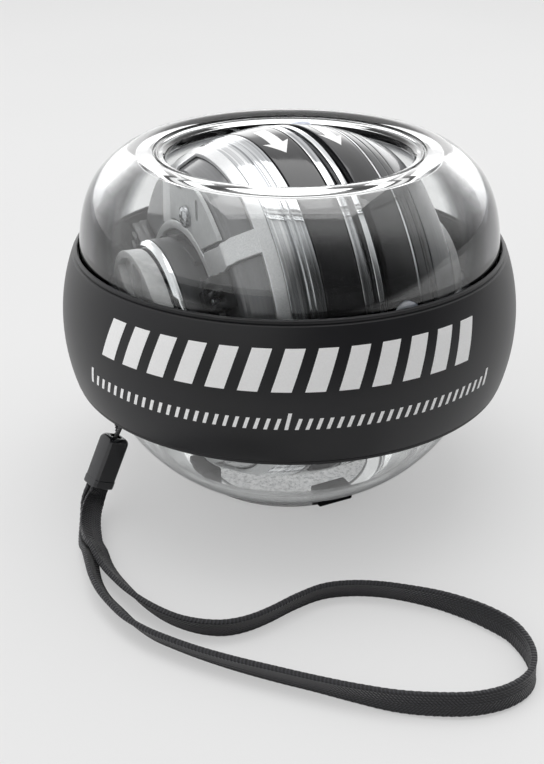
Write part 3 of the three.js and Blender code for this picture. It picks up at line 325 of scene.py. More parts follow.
places = add_node(nylon_webbing, "UVMap", uv_map="along_across")
parts = add_node(nylon_webbing, "SeparateXYZ", {"Vector": places.outputs["UV"]})
mirrored = add_node(nylon_webbing, "Math", {0: parts.outputs["Y"]}, operation="ABSOLUTE")
slanted = add_node(nylon_webbing, "Math", {0: parts.outputs["X"], 1: mirrored.outputs[0]}, operation="ADD")
ribs = thread_wave(slanted.outputs[0], RIB_SPACING)
warps = thread_wave(parts.outputs["Y"], WARP_SPACING)
weave = add_node(nylon_webbing, "Math", {0: warps, 1: 0.45, 2: ribs}, operation="MULTIPLY_ADD")
fuzz = add_node(nylon_webbing, "TexNoise", {"Scale": 1 / (FUZZ_GRAIN * MM), "Detail": 3.0})
height = add_node(nylon_webbing, "Math", {0: fuzz.outputs["Fac"], 1: 0.8, 2: weave.outputs[0]},
                  operation="MULTIPLY_ADD")
share = add_node(nylon_webbing, "MapRange", {"Value": height.outputs[0], "From Min": -1.2, "From Max": 2.0})
# Painted shade and highlight: darker where the weave is low, lighter on the threads' crowns; the fuzz adds
# random tone.
tint = colour_steps(nylon_webbing, share.outputs["Result"], (0.0, "#0c0c0e"), (0.55, "#1b1b1e"),
                    (1.0, "#34343a"))
wire(nylon_webbing, Base_Color=tint)
raise_surface(nylon_webbing, height.outputs[0], 0.7, 0.06)
print("material:", nylon_webbing.name)

# %% [markdown]
# ## The ribbon
# At each step along the route, the ribbon's section is a flat oval with thicker woven edges. It stands on
# its edge on the floor and leans as its route says, and turns to the connector's width at each end.
# The edges are drawn as small scallops, as the weft turns back there.

# %% Sweeping a section along a line
def sweep(line, width_at, section_at):
    rings = []
    tangents = np.gradient(line, axis=0)
    tangents /= np.linalg.norm(tangents, axis=1)[:, None]
    for i, (middle, along) in enumerate(zip(line, tangents)):
        edge = np.array(width_at(i, along))
        edge = edge - along * edge.dot(along)
        edge /= np.linalg.norm(edge)
        face = np.cross(edge, along)
        rings.append([middle + face * x + edge * y for x, y in section_at(i)])
    return rings


def skin_of(rings):
    count = len(rings[0])
    faces = [[i * count + j, i * count + (j + 1) % count, (i + 1) * count + (j + 1) % count,
              (i + 1) * count + j] for i in range(len(rings) - 1) for j in range(count)]
    faces += [list(range(count))[::-1], [(len(rings) - 1) * count + j for j in range(count)]]
    return [tuple(point) for ring in rings for point in ring], faces


print("a swept square has", len(skin_of([[(0, 0, 0)] * 4] * 2)[1]), "faces")

# %% The ribbon's section and mesh
SCALLOP, SCALLOP_STEPS = 0.03, 4


def ribbon_width_at(step, along):
    beside = np.cross((0, 0, 1), along)
    beside /= np.linalg.norm(beside)
    leaned = beside * math.sin(ribbon_lean[step]) + np.cross(along, beside) * math.cos(ribbon_lean[step])
    share = step / (len(ribbon_line) - 1)
    free_length = min(share, 1 - share) * ribbon_length - RIBBON_LENGTH_IN_CONNECTOR
    from_end = min(max(free_length, 0.0) / RIBBON_TWIST_LENGTH, 1.0)
    turn = from_end ** 2 * (3 - 2 * from_end)
    return np.array(across) * (1 - turn) + leaned * turn


def ribbon_section_at(step):
    scallop = SCALLOP * math.cos(step * 2 * math.pi / SCALLOP_STEPS)
    half, thin = RIBBON_WIDTH / 2 - SCALLOP + scallop, RIBBON_THICKNESS / 2
    shares = [(0.45, -1), (0.95, -0.93), (1, -0.84), (0.8, -0.74), (0.86, 0), (0.8, 0.74), (1, 0.84),
              (0.95, 0.93), (0.45, 1)]
    front = [(-thin * thick, half * wide) for thick, wide in shares]
    return front + [(-x, y) for x, y in reversed(front)]


vertices, faces = skin_of(sweep(ribbon_line, ribbon_width_at, ribbon_section_at))
ribbon = dress("strap_ribbon_woven", clean_mesh(vertices, faces), "casing", nylon_webbing,
               ["strap_ribbon"], sharp=70, at=world_frame)
uv_map = ribbon.data.uv_layers.new(name="along_across")
section = np.array(ribbon_section_at(0))
for loop in ribbon.data.loops:
    step, corner = divmod(loop.vertex_index, len(section))
    uv_map.data[loop.index].uv = (step * ribbon_length / (len(ribbon_line) - 1), section[corner][1])
print("ribbon's corners:", len(ribbon.data.vertices))

# %% [markdown]
# ## The cord
# A thin cord of two twisted strands goes from the connector up through the eye and back. A twist can be
# two curves wound round each other, or one tube whose section has two lobes and turns as it goes.
# The second is one closed mesh, so it is made that way.

# %% Twisted nylon cord
STRING_LAY, STRING_STEPS = 1.7, 160
nylon_cord = new_material("nylon_cord_twisted", Roughness=0.6, IOR=1.53, Sheen_Weight=0.2)
give_grain(nylon_cord, 6, (0.3, "#0e0e10"), (0.7, "#26262a"), detail=2.0, relief=0.4, depth_mm=0.04)


def beside_eye(along, rise):
    return np.array(eye_centre + sideways * along + upward * rise)


def over_connector(along, rise):
    return np.array(connector_top + strand_apart * along + slope * rise)


side = EYE_THICKNESS / 2 + STRING_RADIUS
string_up = [
    over_connector(0.5, -0.6), over_connector(0.5, 0.65), beside_eye(side + 0.15, -1.1),
    beside_eye(side + 0.15, -0.55), beside_eye(side - 0.15, -0.175), beside_eye(EYE_THICKNESS / 2 - 0.15, 0),
]
string_down = [
    beside_eye(0.15 - EYE_THICKNESS / 2, 0), beside_eye(0.15 - side, -0.175),
    beside_eye(-side - 0.15, -0.55), beside_eye(-side - 0.15, -1.1),
    over_connector(-0.5, 0.65), over_connector(-0.5, -0.6),
]
string_line, string_length = evenly_spaced(smooth_through(string_up + string_down, 12), STRING_STEPS + 1)


def string_section_at(step):
    twist = step * string_length / STRING_STEPS * 2 * math.pi / STRING_LAY
    section = []
    for angle in np.arange(16) * 2 * math.pi / 16:
        reach = STRING_RADIUS * (0.8 + 0.2 * math.cos(2 * (angle - twist)))
        section.append((reach * math.cos(angle), reach * math.sin(angle)))
    return section


vertices, faces = skin_of(sweep(string_line, lambda step, along: outward, string_section_at))
string = dress("strap_cord_twisted", clean_mesh(vertices, faces), "casing", nylon_cord,
               ["strap_string"], sharp=60, at=world_frame)
print("length of the cord, mm:", round(string_length, 1))

# %% [markdown]
# ## The connector
# The connector is a small block moulded in black ABS, with chamfered edges and a rounded top. The ribbon
# goes into a slot in its foot and the cord into a hole in its top. Its outline is drawn once and repeated
# up its height, a little larger or smaller at each level. The slot and the hole are cut further below.

# %% Black ABS
black_abs = new_material("abs_black_moulded", Roughness=0.24, IOR=1.54, Coat_Weight=0.3, Coat_Roughness=0.12)
give_grain(black_abs, 1.8, (0.35, "#0e0f13"), (0.7, "#1a1b21"), detail=4.0, relief=0.12)
print("material:", black_abs.name)

# %% The connector's mesh
CONNECTOR_WIDTH, CONNECTOR_DEPTH, CONNECTOR_CHAMFER = 4.0, 3.6, 0.5
CORNER_SHARE = 0.12


def chamfered(half, deep, cut):
    corners = [(half - cut, -deep), (half, -deep + cut), (half, deep - cut), (half - cut, deep)]
    corners += [(-x, y) for x, y in reversed(corners)]
    rounded = []
    for i, corner in enumerate(corners):
        for neighbour in (corners[i - 1], corners[(i + 1) % len(corners)]):
            place = (1 - CORNER_SHARE) * np.array(corner) + CORNER_SHARE * np.array(neighbour)
            rounded.append(tuple(place))
    return rounded


connector_levels = [
    (-8.4, -0.22), (-8.38, -0.1), (-8.28, -0.02), (-8.1, 0.0), (-7.2, 0.0), (-7.1, -0.06), (-0.9, -0.06),
    (-0.55, -0.12), (-0.25, -0.28), (-0.06, -0.5), (0.0, -0.75),
]
rings = []
for height, grow in connector_levels:
    outline = chamfered(CONNECTOR_WIDTH / 2 + grow, CONNECTOR_DEPTH / 2 + grow, CONNECTOR_CHAMFER)
    rings.append([(x, y, height) for x, y in outline])
connector_mesh = clean_mesh(*skin_of(rings))
print("connector's levels:", len(connector_levels))

# %% [markdown]
# ## Turned pieces
# Nearly all of the ball is turned about an axis. A lathe piece is an outline of (radius, height) points in
# millimetres, repeated round the axis. Real edges are never quite sharp, so each corner of the outline
# is first rounded by a small radius, which catches a thin line of light.

# %% Rounding an outline's corners
def soften(outline, radius, closed=True):
    points = [np.array(point, float) for point in outline]
    rounded = []
    for i, point in enumerate(points):
        if not closed and i in (0, len(points) - 1):
            rounded.append(point)
            continue
        back, ahead = points[i - 1] - point, points[(i + 1) % len(points)] - point
        back_length, ahead_length = np.linalg.norm(back), np.linalg.norm(ahead)
        turn = math.pi - math.acos(np.clip(back.dot(ahead) / back_length / ahead_length, -1, 1))
        if turn < math.radians(25):
            rounded.append(point)
            continue
        reach = min(radius * math.tan(turn / 2), 0.45 * back_length, 0.45 * ahead_length)
        start, end = point + back / back_length * reach, point + ahead / ahead_length * reach
        for share in (0, 0.25, 0.5, 0.75, 1):
            rounded.append((1 - share) ** 2 * start + 2 * share * (1 - share) * point + share ** 2 * end)
    return [tuple(point) for point in rounded]


print("a corner of a square gets", len(soften([(0, 0), (1, 0), (1, 1), (0, 1)], 0.1)) // 4, "points")

# %% Lathe
def lathe(outline, segments, closed):
    count = len(outline)
    vertices = [(radius * math.cos(angle), radius * math.sin(angle), height)
                for angle in np.arange(segments) * 2 * math.pi / segments for radius, height in outline]
    steps = count if closed else count - 1
    faces = []
    for i in range(segments):
        start, after = i * count, (i + 1) % segments * count
        faces += [[start + j, start + (j + 1) % count, after + (j + 1) % count, after + j]
                  for j in range(steps)]
    return vertices, faces


def turned_mesh(outline, closed=True, segments=160):
    return clean_mesh(*lathe(outline, segments, closed))


def lathe_piece(name, outline, body, material, replaces=(), edge=0.12, closed=True, segments=160):
    mesh = turned_mesh(soften(outline, edge, closed), closed, segments)
    return dress(name, mesh, body, material, replaces)


def ring_outline(inner, outer, low, high):
    return [(inner, low), (outer, low), (outer, high), (inner, high)]


def circle(radius, steps=32, x=0.0):
    return [(x + radius * math.cos(angle), radius * math.sin(angle))
            for angle in np.arange(steps) * 2 * math.pi / steps]


print("a turned ring has", len(lathe(ring_outline(1, 2, 0, 1), 160, True)[1]), "faces")

# %% [markdown]
# ## Cutting and joining
# Holes and pockets are cut with Blender's Boolean modifier, and the result is kept as a plain mesh.
# A prism is an outline raised to a height with its edges bevelled; it makes plates, blocks and cutters.

# %% Prism and Boolean
def prism(outline, low, high, bevel=0.0, bevel_steps=2):
    shape = bmesh.new()
    bottom = [shape.verts.new((x * MM, y * MM, low * MM)) for x, y in outline]
    top = [shape.verts.new((x * MM, y * MM, high * MM)) for x, y in outline]
    shape.faces.new(bottom[::-1])
    shape.faces.new(top)
    for i in range(len(outline)):
        j = (i + 1) % len(outline)
        shape.faces.new((bottom[i], bottom[j], top[j], top[i]))
    bmesh.ops.recalc_face_normals(shape, faces=shape.faces)
    if bevel:
        edges = [edge for edge in shape.edges if edge.calc_face_angle(0) > math.radians(30)]
        bmesh.ops.bevel(shape, geom=edges, offset=bevel * MM, segments=bevel_steps, affect="EDGES",
                        profile=0.5, clamp_overlap=True)
    mesh = bpy.data.meshes.new("prism")
    shape.to_mesh(mesh)
    shape.free()
    return mesh


def box(width, depth, low, high, x=0.0, y=0.0, bevel=0.0):
    corners = [(-1, -1), (1, -1), (1, 1), (-1, 1)]
    return prism([(x + sx * width / 2, y + sy * depth / 2) for sx, sy in corners], low, high, bevel)


def combine(mesh, tool, how):
    base, other = bpy.data.objects.new("base", mesh), bpy.data.objects.new("tool", tool)
    for item in (base, other):
        bpy.context.scene.collection.objects.link(item)
    step = base.modifiers.new("combine", "BOOLEAN")
    step.operation, step.object, step.solver = how, other, "EXACT"
    bpy.context.view_layer.update()
    result = bpy.data.meshes.new_from_object(base.evaluated_get(bpy.context.evaluated_depsgraph_get()))
    for item in (base, other):
        bpy.data.objects.remove(item)
    return result


def moved(mesh, *matrices):
    for matrix in matrices:
        mesh.transform(matrix)
    return mesh


def turned_by(angle):
    return Matrix.Rotation(angle, 4, "Z")


print("a box has", len(box(1, 1, 0, 1).polygons), "faces")

# %% The connector's slot and hole
SLOT_WIDTH, SLOT_DEPTH, SLOT_TOP, CORD_HOLE_RADIUS, CORD_HOLE_FOOT = 3.5, 2.35, -7.2, 0.98, -0.8
connector_mesh = combine(connector_mesh, box(SLOT_WIDTH, SLOT_DEPTH, -9.0, SLOT_TOP), "DIFFERENCE")
connector_mesh = combine(connector_mesh, prism(circle(CORD_HOLE_RADIUS), CORD_HOLE_FOOT, 0.5), "DIFFERENCE")
connector = dress("strap_connector_moulded", connector_mesh, "casing", black_abs,
                  ["strap_connector"], 25, connector_frame)
print("connector's faces:", len(connector_mesh.polygons))

# %% [markdown]
# ## Clear polycarbonate
# Both halves of the casing are injection moulded in clear polycarbonate, with a polished surface.
# It lets light through and bends it, and its thick lip and corners show bright and dark bands.
# A Principled shader with full transmission and polycarbonate's IOR of 1.585 gives that. Walls seen edge on,
# below a set height, get a darker tint: partly the dimming of light on its long way through the wall, partly
# painted shade for the dark parts these walls show. Handling leaves the polish a little uneven, so the
# roughness changes slightly over the surface, in patches of about 11 mm.

# %% Clear polycarbonate
POLYCARBONATE_IOR = 1.585


def edge_shade_painted(material, dim_from, dim_to, low_from, low_to):
    # Painted shade: a darker tint on walls seen edge on, below a height over the equator in mm.
    facing = add_node(material, "LayerWeight", {"Blend": 0.5})
    edge_on = add_node(material, "MapRange", {"Value": facing.outputs["Facing"], "From Min": dim_from,
                                              "From Max": dim_to})
    places = add_node(material, "TexCoord")
    height = add_node(material, "SeparateXYZ", {"Vector": places.outputs["Object"]})
    low = add_node(material, "MapRange", {"Value": height.outputs["Z"], "From Min": low_from * MM,
                                          "From Max": low_to * MM, "To Min": 1.0, "To Max": 0.0})
    dim = add_node(material, "Math", {0: edge_on.outputs[0], 1: low.outputs[0]}, operation="MULTIPLY")
    return colour_steps(material, dim.outputs[0], (0.0, "#fbfcfc"), (0.5, "#6e7072"), (1.0, "#1c1c1e"))


clear_polycarbonate = new_material("polycarbonate_clear_polished", IOR=POLYCARBONATE_IOR,
                                   Transmission_Weight=1.0)
wear = add_node(clear_polycarbonate, "TexNoise", {"Scale": 0.09 / MM, "Detail": 3.0})
rough = add_node(clear_polycarbonate, "MapRange", {"Value": wear.outputs["Fac"], "To Max": 0.03})
# Base colour carries the painted darker tint of walls seen edge on, partly absorption, partly painted shade.
wire(clear_polycarbonate, Base_Color=edge_shade_painted(clear_polycarbonate, 0.42, 0.52, 19.0, 24.0),
     Roughness=rough.outputs["Result"])
print("material:", clear_polycarbonate.name)

# %% [markdown]
# ## The dome
# The upper half of the casing is a dome with a wide mouth. Its section is between an ellipse and a
# rectangle, so the wall rises steeply and turns over in a round crest, then dips to the mouth's lip.
# The lip is a thick bead with a fine groove round it.

# %% The casing's curves
BAND_RADIUS, BAND_HALF_HEIGHT, BELT_RADIUS, BELT_TOP = 36.0, 10.6, 33.2, 10.0
SHELL_RADIUS, INNER_RADIUS, SHELL_WALL, RACE_RADIUS, RACE_HALF_HEIGHT = 32.8, 30.6, 2.2, 32.0, 1.5
DOME_RISE, DOME_SQUARENESS, CREST_RADIUS, MOUTH_RADIUS, MOUTH_DROP = 27.184, 4.0, 24.0, 19.8, 3.0
FLOOR_DEPTH, FOOT_DEPTH, BOWL_SQUARENESS, FOOT_RADIUS = 27.984, 28.984, 1.9, 12.0


def casing_curve(angle, reach, rise, squareness, flat=0.0):
    power = 2 / squareness
    return flat + (reach - flat) * math.cos(angle) ** power, rise * math.sin(angle) ** power


def casing_radius(height, reach, rise, squareness, flat=0.0):
    return flat + (reach - flat) * (1 - (height / rise) ** squareness) ** (1 / squareness)


def curve_points(first, last, steps, *shape):
    return [casing_curve(first + (last - first) * i / steps, *shape) for i in range(steps + 1)]


print("shell's radius at the belt, mm:",
      round(casing_radius(BELT_TOP, SHELL_RADIUS, DOME_RISE, DOME_SQUARENESS), 1))

# %% Dome
def dome_outline(steps=26):
    outer, inner = (SHELL_RADIUS, DOME_RISE), (INNER_RADIUS, DOME_RISE - SHELL_WALL)
    first, last = (math.acos((radius / reach) ** (DOME_SQUARENESS / 2)) for radius, reach in (
        (casing_radius(BELT_TOP, *outer, DOME_SQUARENESS), SHELL_RADIUS), (CREST_RADIUS, SHELL_RADIUS)))
    outside = curve_points(first, last, steps, *outer, DOME_SQUARENESS)
    first, last = (math.acos((radius / reach) ** (DOME_SQUARENESS / 2)) for radius, reach in (
        (CREST_RADIUS - 1, INNER_RADIUS),
        (casing_radius(RACE_HALF_HEIGHT, *inner, DOME_SQUARENESS), INNER_RADIUS)))
    inside = curve_points(first, last, steps, *inner, DOME_SQUARENESS)
    lip_height = DOME_RISE - MOUTH_DROP
    start, end = np.array(outside[-1]), np.array((MOUTH_RADIUS, lip_height))
    middle = np.array(((start[0] + end[0]) / 2, start[1] + (start[1] - end[1]) / 2))
    lip = [tuple((1 - t) ** 2 * start + 2 * t * (1 - t) * middle + t ** 2 * end)
           for t in np.arange(1, 9) / 9]
    groove_top = lip[-1][1] + 0.02
    groove = [(20.75, groove_top), (20.6, groove_top - 0.32), (20.35, groove_top - 0.32), (20.2, groove_top)]
    bead = [(radius, lip_height + rise) for radius, rise in (
        (20.0, 0.25), (19.8, 0), (19.2, -0.1), (18.85, -0.45), (18.8, -0.9), (18.85, -1.35), (19.2, -1.75))]
    under = [(20.3, min(inside[0][1], lip_height - 1.0) - 0.35), (21.4, inside[0][1] - 0.05)]
    race = [(RACE_RADIUS, RACE_HALF_HEIGHT), (RACE_RADIUS, 0), (BELT_RADIUS, 0), (BELT_RADIUS, BELT_TOP)]
    return race + outside + lip[:-1] + groove + bead + under + inside


dome = lathe_piece("dome_moulded", dome_outline(), "casing", clear_polycarbonate,
                   ["upper_shell"], edge=0.2, segments=192)
print("dome's corners:", len(dome.data.vertices))

# %% [markdown]
# ## The bowl
# The lower half is a round bowl on a foot ring, with a flat floor that is grained on the inside, so that it
# is frosted. Four rubber pads go through the foot ring, and below the band at the left there is a small eye
# for the strap. The pads' pockets are cut and the eye is joined with Booleans, so the bowl stays one
# moulding. One material serves the whole bowl: it is frosted where it is low and near the axis, in grains of
# 0.7 mm, which are coarser than real ones so that they show. Its walls seen edge on get a darker tint, as the
# dome's, partly absorption and partly painted shade. The two edges of the foot ring, seen edge on through the
# wall, are painted in as thin dark rings of painted shade.

# %% Bowl material
FLOOR_GRAINS_PER_MM, FLOOR_EDGE, FLOOR_TOP = 1.5, 13.4, -27.5
bowl_polycarbonate = new_material("polycarbonate_clear_grained_floor", IOR=POLYCARBONATE_IOR,
                                  Transmission_Weight=1.0)


def bowl_math(first, second, operation="MULTIPLY"):
    return add_node(bowl_polycarbonate, "Math", {0: first, 1: second}, operation=operation).outputs[0]


def fades(place, start_mm, end_mm, low=0.0, high=1.0):
    return add_node(bowl_polycarbonate, "MapRange", {
        "Value": place, "From Min": start_mm * MM, "From Max": end_mm * MM, "To Min": low, "To Max": high,
    }).outputs["Result"]


def mixed(share, first, second, how="MIX"):
    return add_node(bowl_polycarbonate, "Mix", {"Factor": share, "A": first, "B": second}, data_type="RGBA",
                    blend_type=how).outputs["Result"]


coordinates = add_node(bowl_polycarbonate, "TexCoord")
parts = add_node(bowl_polycarbonate, "SeparateXYZ", {"Vector": coordinates.outputs["Object"]})
flat = add_node(bowl_polycarbonate, "CombineXYZ", {"X": parts.outputs["X"], "Y": parts.outputs["Y"]})
radius = add_node(bowl_polycarbonate, "VectorMath", {0: flat.outputs["Vector"]}, operation="LENGTH")
near_axis = fades(radius.outputs["Value"], FLOOR_EDGE, FLOOR_EDGE + 0.3, 1.0, 0.0)
low_down = fades(parts.outputs["Z"], FLOOR_TOP, FLOOR_TOP + 0.2, 1.0, 0.0)
frosted = bowl_math(near_axis, low_down)
grain = add_node(bowl_polycarbonate, "TexNoise", {"Scale": FLOOR_GRAINS_PER_MM / MM, "Detail": 4.0,
                                                  "Roughness": 0.7}).outputs["Fac"]
pale = colour_steps(bowl_polycarbonate, grain, (0.38, "#8c8e8f"), (0.5, "#e6e7e7"), (0.58, "#ffffff"))
# Painted shade: a darker tint on walls seen edge on, below 2 mm under the equator.
tint = mixed(frosted, edge_shade_painted(bowl_polycarbonate, 0.7, 1.0, -6.0, -2.0), pale)
# Painted shade: two thin dark rings where the foot ring's edges are seen edge on through the wall.
edges = colour_steps(bowl_polycarbonate, fades(radius.outputs["Value"], 12.0, 18.0), (0.22, "#ffffff"),
                     (0.25, "#303032"), (0.29, "#303032"), (0.32, "#ffffff"), (0.68, "#ffffff"),
                     (0.72, "#1e1e20"), (0.78, "#1e1e20"), (0.82, "#ffffff"))
tint = mixed(low_down, tint, edges, "MULTIPLY")
wire(bowl_polycarbonate, Base_Color=tint, Roughness=bowl_math(frosted, 0.35))
raise_surface(bowl_polycarbonate, grain, bowl_math(frosted, 0.5), 0.1)
print("material:", bowl_polycarbonate.name)

# %% Bowl's outline and the pads' places
RING_RADIUS, RING_INNER, HOLLOW_DEPTH = 17.0, 13.7, 28.584
PAD_DEPTH, PAD_WIDTH, PAD_HEIGHT, PAD_PROUD, PAD_REACH = 3.4, 6.0, 3.6, 0.3, 15.4
PAD_ANGLES = [math.radians(27 - 90 + 90 * i) for i in range(4)]


def bowl_outline(steps=30):
    first = math.asin((BELT_TOP / FOOT_DEPTH) ** (BOWL_SQUARENESS / 2))
    reach = (RING_RADIUS - FOOT_RADIUS) / (SHELL_RADIUS - FOOT_RADIUS)
    last = math.acos(reach ** (BOWL_SQUARENESS / 2))
    outline = curve_points(first, last, steps, SHELL_RADIUS, FOOT_DEPTH, BOWL_SQUARENESS, FOOT_RADIUS)
    foot = [(RING_RADIUS, FOOT_DEPTH), (RING_INNER, FOOT_DEPTH), (RING_INNER - 0.4, HOLLOW_DEPTH),
            (0, HOLLOW_DEPTH), (0, FLOOR_DEPTH)]
    last = math.asin((RACE_HALF_HEIGHT / FLOOR_DEPTH) ** (BOWL_SQUARENESS / 2))
    inside = curve_points(math.pi / 2, last, steps, INNER_RADIUS, FLOOR_DEPTH, BOWL_SQUARENESS, FOOT_RADIUS)
    belt = [(RACE_RADIUS, 0), (BELT_RADIUS, 0), (BELT_RADIUS, BELT_TOP)]
    depths = belt + outline + foot + inside + [(RACE_RADIUS, RACE_HALF_HEIGHT)]
    return [(radius, -depth) for radius, depth in depths]


def foot_pad(angle, grow, bevel):
    low, high = -FOOT_DEPTH - PAD_PROUD - grow, -FOOT_DEPTH - PAD_PROUD + PAD_HEIGHT + grow
    block = box(PAD_DEPTH + 2 * grow, PAD_WIDTH + 2 * grow, low, high, PAD_REACH, 0, bevel)
    return moved(block, turned_by(angle))


print("pads at, degrees:", [round(math.degrees(angle)) for angle in PAD_ANGLES])

# %% Bowl, eye and pockets
EYE_HEIGHT, EYE_END, EYE_BORE_RADIUS, PAD_GRIP = 2.0, 32.6, 0.55, 0.03
eye_low = -BAND_HALF_HEIGHT - 0.15 - EYE_HEIGHT
eye_root = casing_radius(-eye_low, INNER_RADIUS, FLOOR_DEPTH, BOWL_SQUARENESS, FOOT_RADIUS) + SHELL_WALL / 2
eye_block = box(EYE_END - eye_root, EYE_THICKNESS, eye_low, eye_low + EYE_HEIGHT, (eye_root + EYE_END) / 2,
                bevel=0.2)
eye_hole = moved(prism(circle(EYE_BORE_RADIUS), -2, 2), Matrix.Rotation(math.pi / 2, 4, "X"),
                 Matrix.Translation((EYE_REACH * MM, 0, -EYE_DROP * MM)))
eye = moved(combine(eye_block, eye_hole, "DIFFERENCE"), turned_by(EYE_AZIMUTH))
bowl_mesh = combine(turned_mesh(soften(bowl_outline(), 0.2), segments=192), eye, "UNION")
for angle in PAD_ANGLES:
    bowl_mesh = combine(bowl_mesh, foot_pad(angle, -PAD_GRIP, 0.2), "DIFFERENCE")
bowl = dress("bowl_moulded", bowl_mesh, "casing", bowl_polycarbonate,
             ["lower_shell"], 40)
print("bowl's corners:", len(bowl.data.vertices))

# %% [markdown]
# ## Foot pads
# The pads are blocks of black rubber with a matt skin and rounded edges. The bowl is moulded round them, so
# the rubber touches the clear plastic everywhere and shows through it, also from above.

# %% Rubber pads
black_rubber = new_material("rubber_black_moulded", Roughness=0.8, IOR=1.5, Specular_IOR_Level=0.15)
give_grain(black_rubber, 3, (0.3, "#0c0c0d"), (0.7, "#19191b"), relief=0.3)
for i, angle in enumerate(PAD_ANGLES):
    dress(f"foot_pad_moulded_{i + 1}", foot_pad(angle, 0.0, 0.25), "casing", black_rubber,
          [f"foot_pad_{i + 1}"], 40)
print("pads:", len(PAD_ANGLES))

# %% [markdown]
# ## The liner
# Round the bowl's floor lies a thin ring of the same plastic with a fine grain, which softens what is seen
# through it. A noise about 0.4 mm across roughens it, and its edges show as two thin arcs.

# %% Frosted liner
LINER_GAP, LINER_WALL, LINER_FIRST_SHARE, LINER_LAST_SHARE = 0.15, 0.8, 0.25, 2.6 / 6
frosted_polycarbonate = new_material("polycarbonate_frosted", Roughness=0.12, IOR=POLYCARBONATE_IOR,
                                     Transmission_Weight=1.0)
give_grain(frosted_polycarbonate, 2.6, (0.3, "#e2e4e4"), (0.7, "#ffffff"), detail=4.0, harshness=0.7,
           relief=0.25, depth_mm=0.1)


def liner_outline(inset, steps=8):
    last = math.asin((RACE_HALF_HEIGHT / FLOOR_DEPTH) ** (BOWL_SQUARENESS / 2))
    start, end = (math.pi / 2 + (last - math.pi / 2) * share
                  for share in (LINER_FIRST_SHARE, LINER_LAST_SHARE))
    curve = curve_points(start, end, steps, INNER_RADIUS - inset, FLOOR_DEPTH - inset, BOWL_SQUARENESS,
                         FOOT_RADIUS)
    return [(radius, -depth) for radius, depth in curve]


liner_section = liner_outline(LINER_GAP) + liner_outline(LINER_GAP + LINER_WALL)[::-1]
lathe_piece("liner_frosted", liner_section, "casing", frosted_polycarbonate,
            ["base_liner"])
print("liner's radius, mm:", round(liner_outline(LINER_GAP)[-1][0], 1))

# %% [markdown]
# ## The grip band
# The band is moulded in silicone rubber, satin black, and stretches over the casing's belt. Its outside is
# slightly barrel shaped. At the top and bottom it has a thin rounded rim, which catches a line of light.
# Silicone's IOR is 1.43. Its skin has a fine matt grain, drawn 0.2 mm across so that it shows, and handling
# leaves soft clouds about 17 mm across, a little duller or brighter.

# %% Silicone band
BAND_CURVE, BAND_CURVE_DROP, BAND_RIM, LAP = 30.0, 1.5, 0.75, 0.12
satin_silicone = new_material("silicone_rubber_satin_black", Roughness=0.46, IOR=1.43)
cloud = give_grain(satin_silicone, 0.06, (0.3, "#171719"), (0.7, "#1e1e21"))
rough = add_node(satin_silicone, "MapRange", {"Value": cloud, "To Min": 0.36, "To Max": 0.46})
grain = add_node(satin_silicone, "TexNoise", {"Scale": 5 / MM, "Detail": 2.0})
wire(satin_silicone, Roughness=rough.outputs["Result"])
raise_surface(satin_silicone, grain.outputs["Fac"], 0.12, 0.03)


def band_radius_at(height):
    return BAND_RADIUS - BAND_CURVE + math.sqrt(BAND_CURVE ** 2 - (height + BAND_CURVE_DROP) ** 2)


def band_outline(steps=24):
    top, rim = BAND_HALF_HEIGHT, BAND_RIM
    low_radius, high_radius = band_radius_at(-top), band_radius_at(top)
    curve = [(band_radius_at(height), height) for height in np.linspace(-top + rim, top - rim, steps + 1)]
    low = [(low_radius - 0.25, -top), (low_radius, -top + 0.1), (low_radius, -top + rim - 0.2),
           (low_radius - 0.12, -top + rim - 0.12)]
    high = [(high_radius - 0.12, top - rim + 0.12), (high_radius, top - rim + 0.2),
            (high_radius, top - 0.12), (high_radius - 0.3, top)]
    lap = [(SHELL_RADIUS + LAP, top), (SHELL_RADIUS + LAP, BELT_TOP + LAP),
           (BELT_RADIUS + LAP, BELT_TOP + LAP), (BELT_RADIUS + LAP, -BELT_TOP), (BELT_RADIUS + 0.45, -top)]
    return low + curve + high + lap


band = lathe_piece("band_silicone", band_outline(), "casing", satin_silicone,
                   ["grip_band"], edge=0.15, segments=224)
print("band's corners:", len(band.data.vertices))

# %% [markdown]
# ## The graphic on the band
# A white graphic is pad printed round the band: a row of slanted bars over a fine row of ticks. Printed ink
# is a skin of about 0.05 mm. It could be drawn in the shader, but as a thin mesh its edges stay crisp in
# every view. Each mark is drawn flat, sliced into narrow strips so that it can bend, and laid on the band.

# %% Marks laid on a curved surface
def marks_mesh(outlines, lay, slice_width, thickness):
    vertices, faces = [], []
    for outline in outlines:
        flat = bmesh.new()
        flat.faces.new([flat.verts.new((x, y, 0)) for x, y in outline])
        for axis, normal in ((0, (1, 0, 0)), (1, (0, 1, 0))):
            low, high = min(point[axis] for point in outline), max(point[axis] for point in outline)
            for place in np.arange(low + slice_width, high - slice_width / 4, slice_width):
                bmesh.ops.bisect_plane(flat, geom=flat.verts[:] + flat.edges[:] + flat.faces[:],
                                       plane_co=[value * place for value in normal], plane_no=normal)
        flat.verts.index_update()
        start, count = len(vertices), len(flat.verts)
        vertices += [lay(v.co.x, v.co.y, thickness) for v in flat.verts]
        vertices += [lay(v.co.x, v.co.y, -thickness) for v in flat.verts]
        for face in flat.faces:
            corners = [v.index for v in face.verts]
            faces.append([start + i for i in corners])
            faces.append([start + count + i for i in reversed(corners)])
        for edge in flat.edges:
            if edge.is_boundary:
                a, b = (v.index for v in edge.verts)
                faces.append([start + a, start + b, start + count + b, start + count + a])
        flat.free()
    return clean_mesh(vertices, faces)


def on_band(along, height, proud):
    angle = math.radians(-90) + along / BAND_RADIUS
    reach = band_radius_at(height) + proud
    return reach * math.cos(angle), reach * math.sin(angle), height


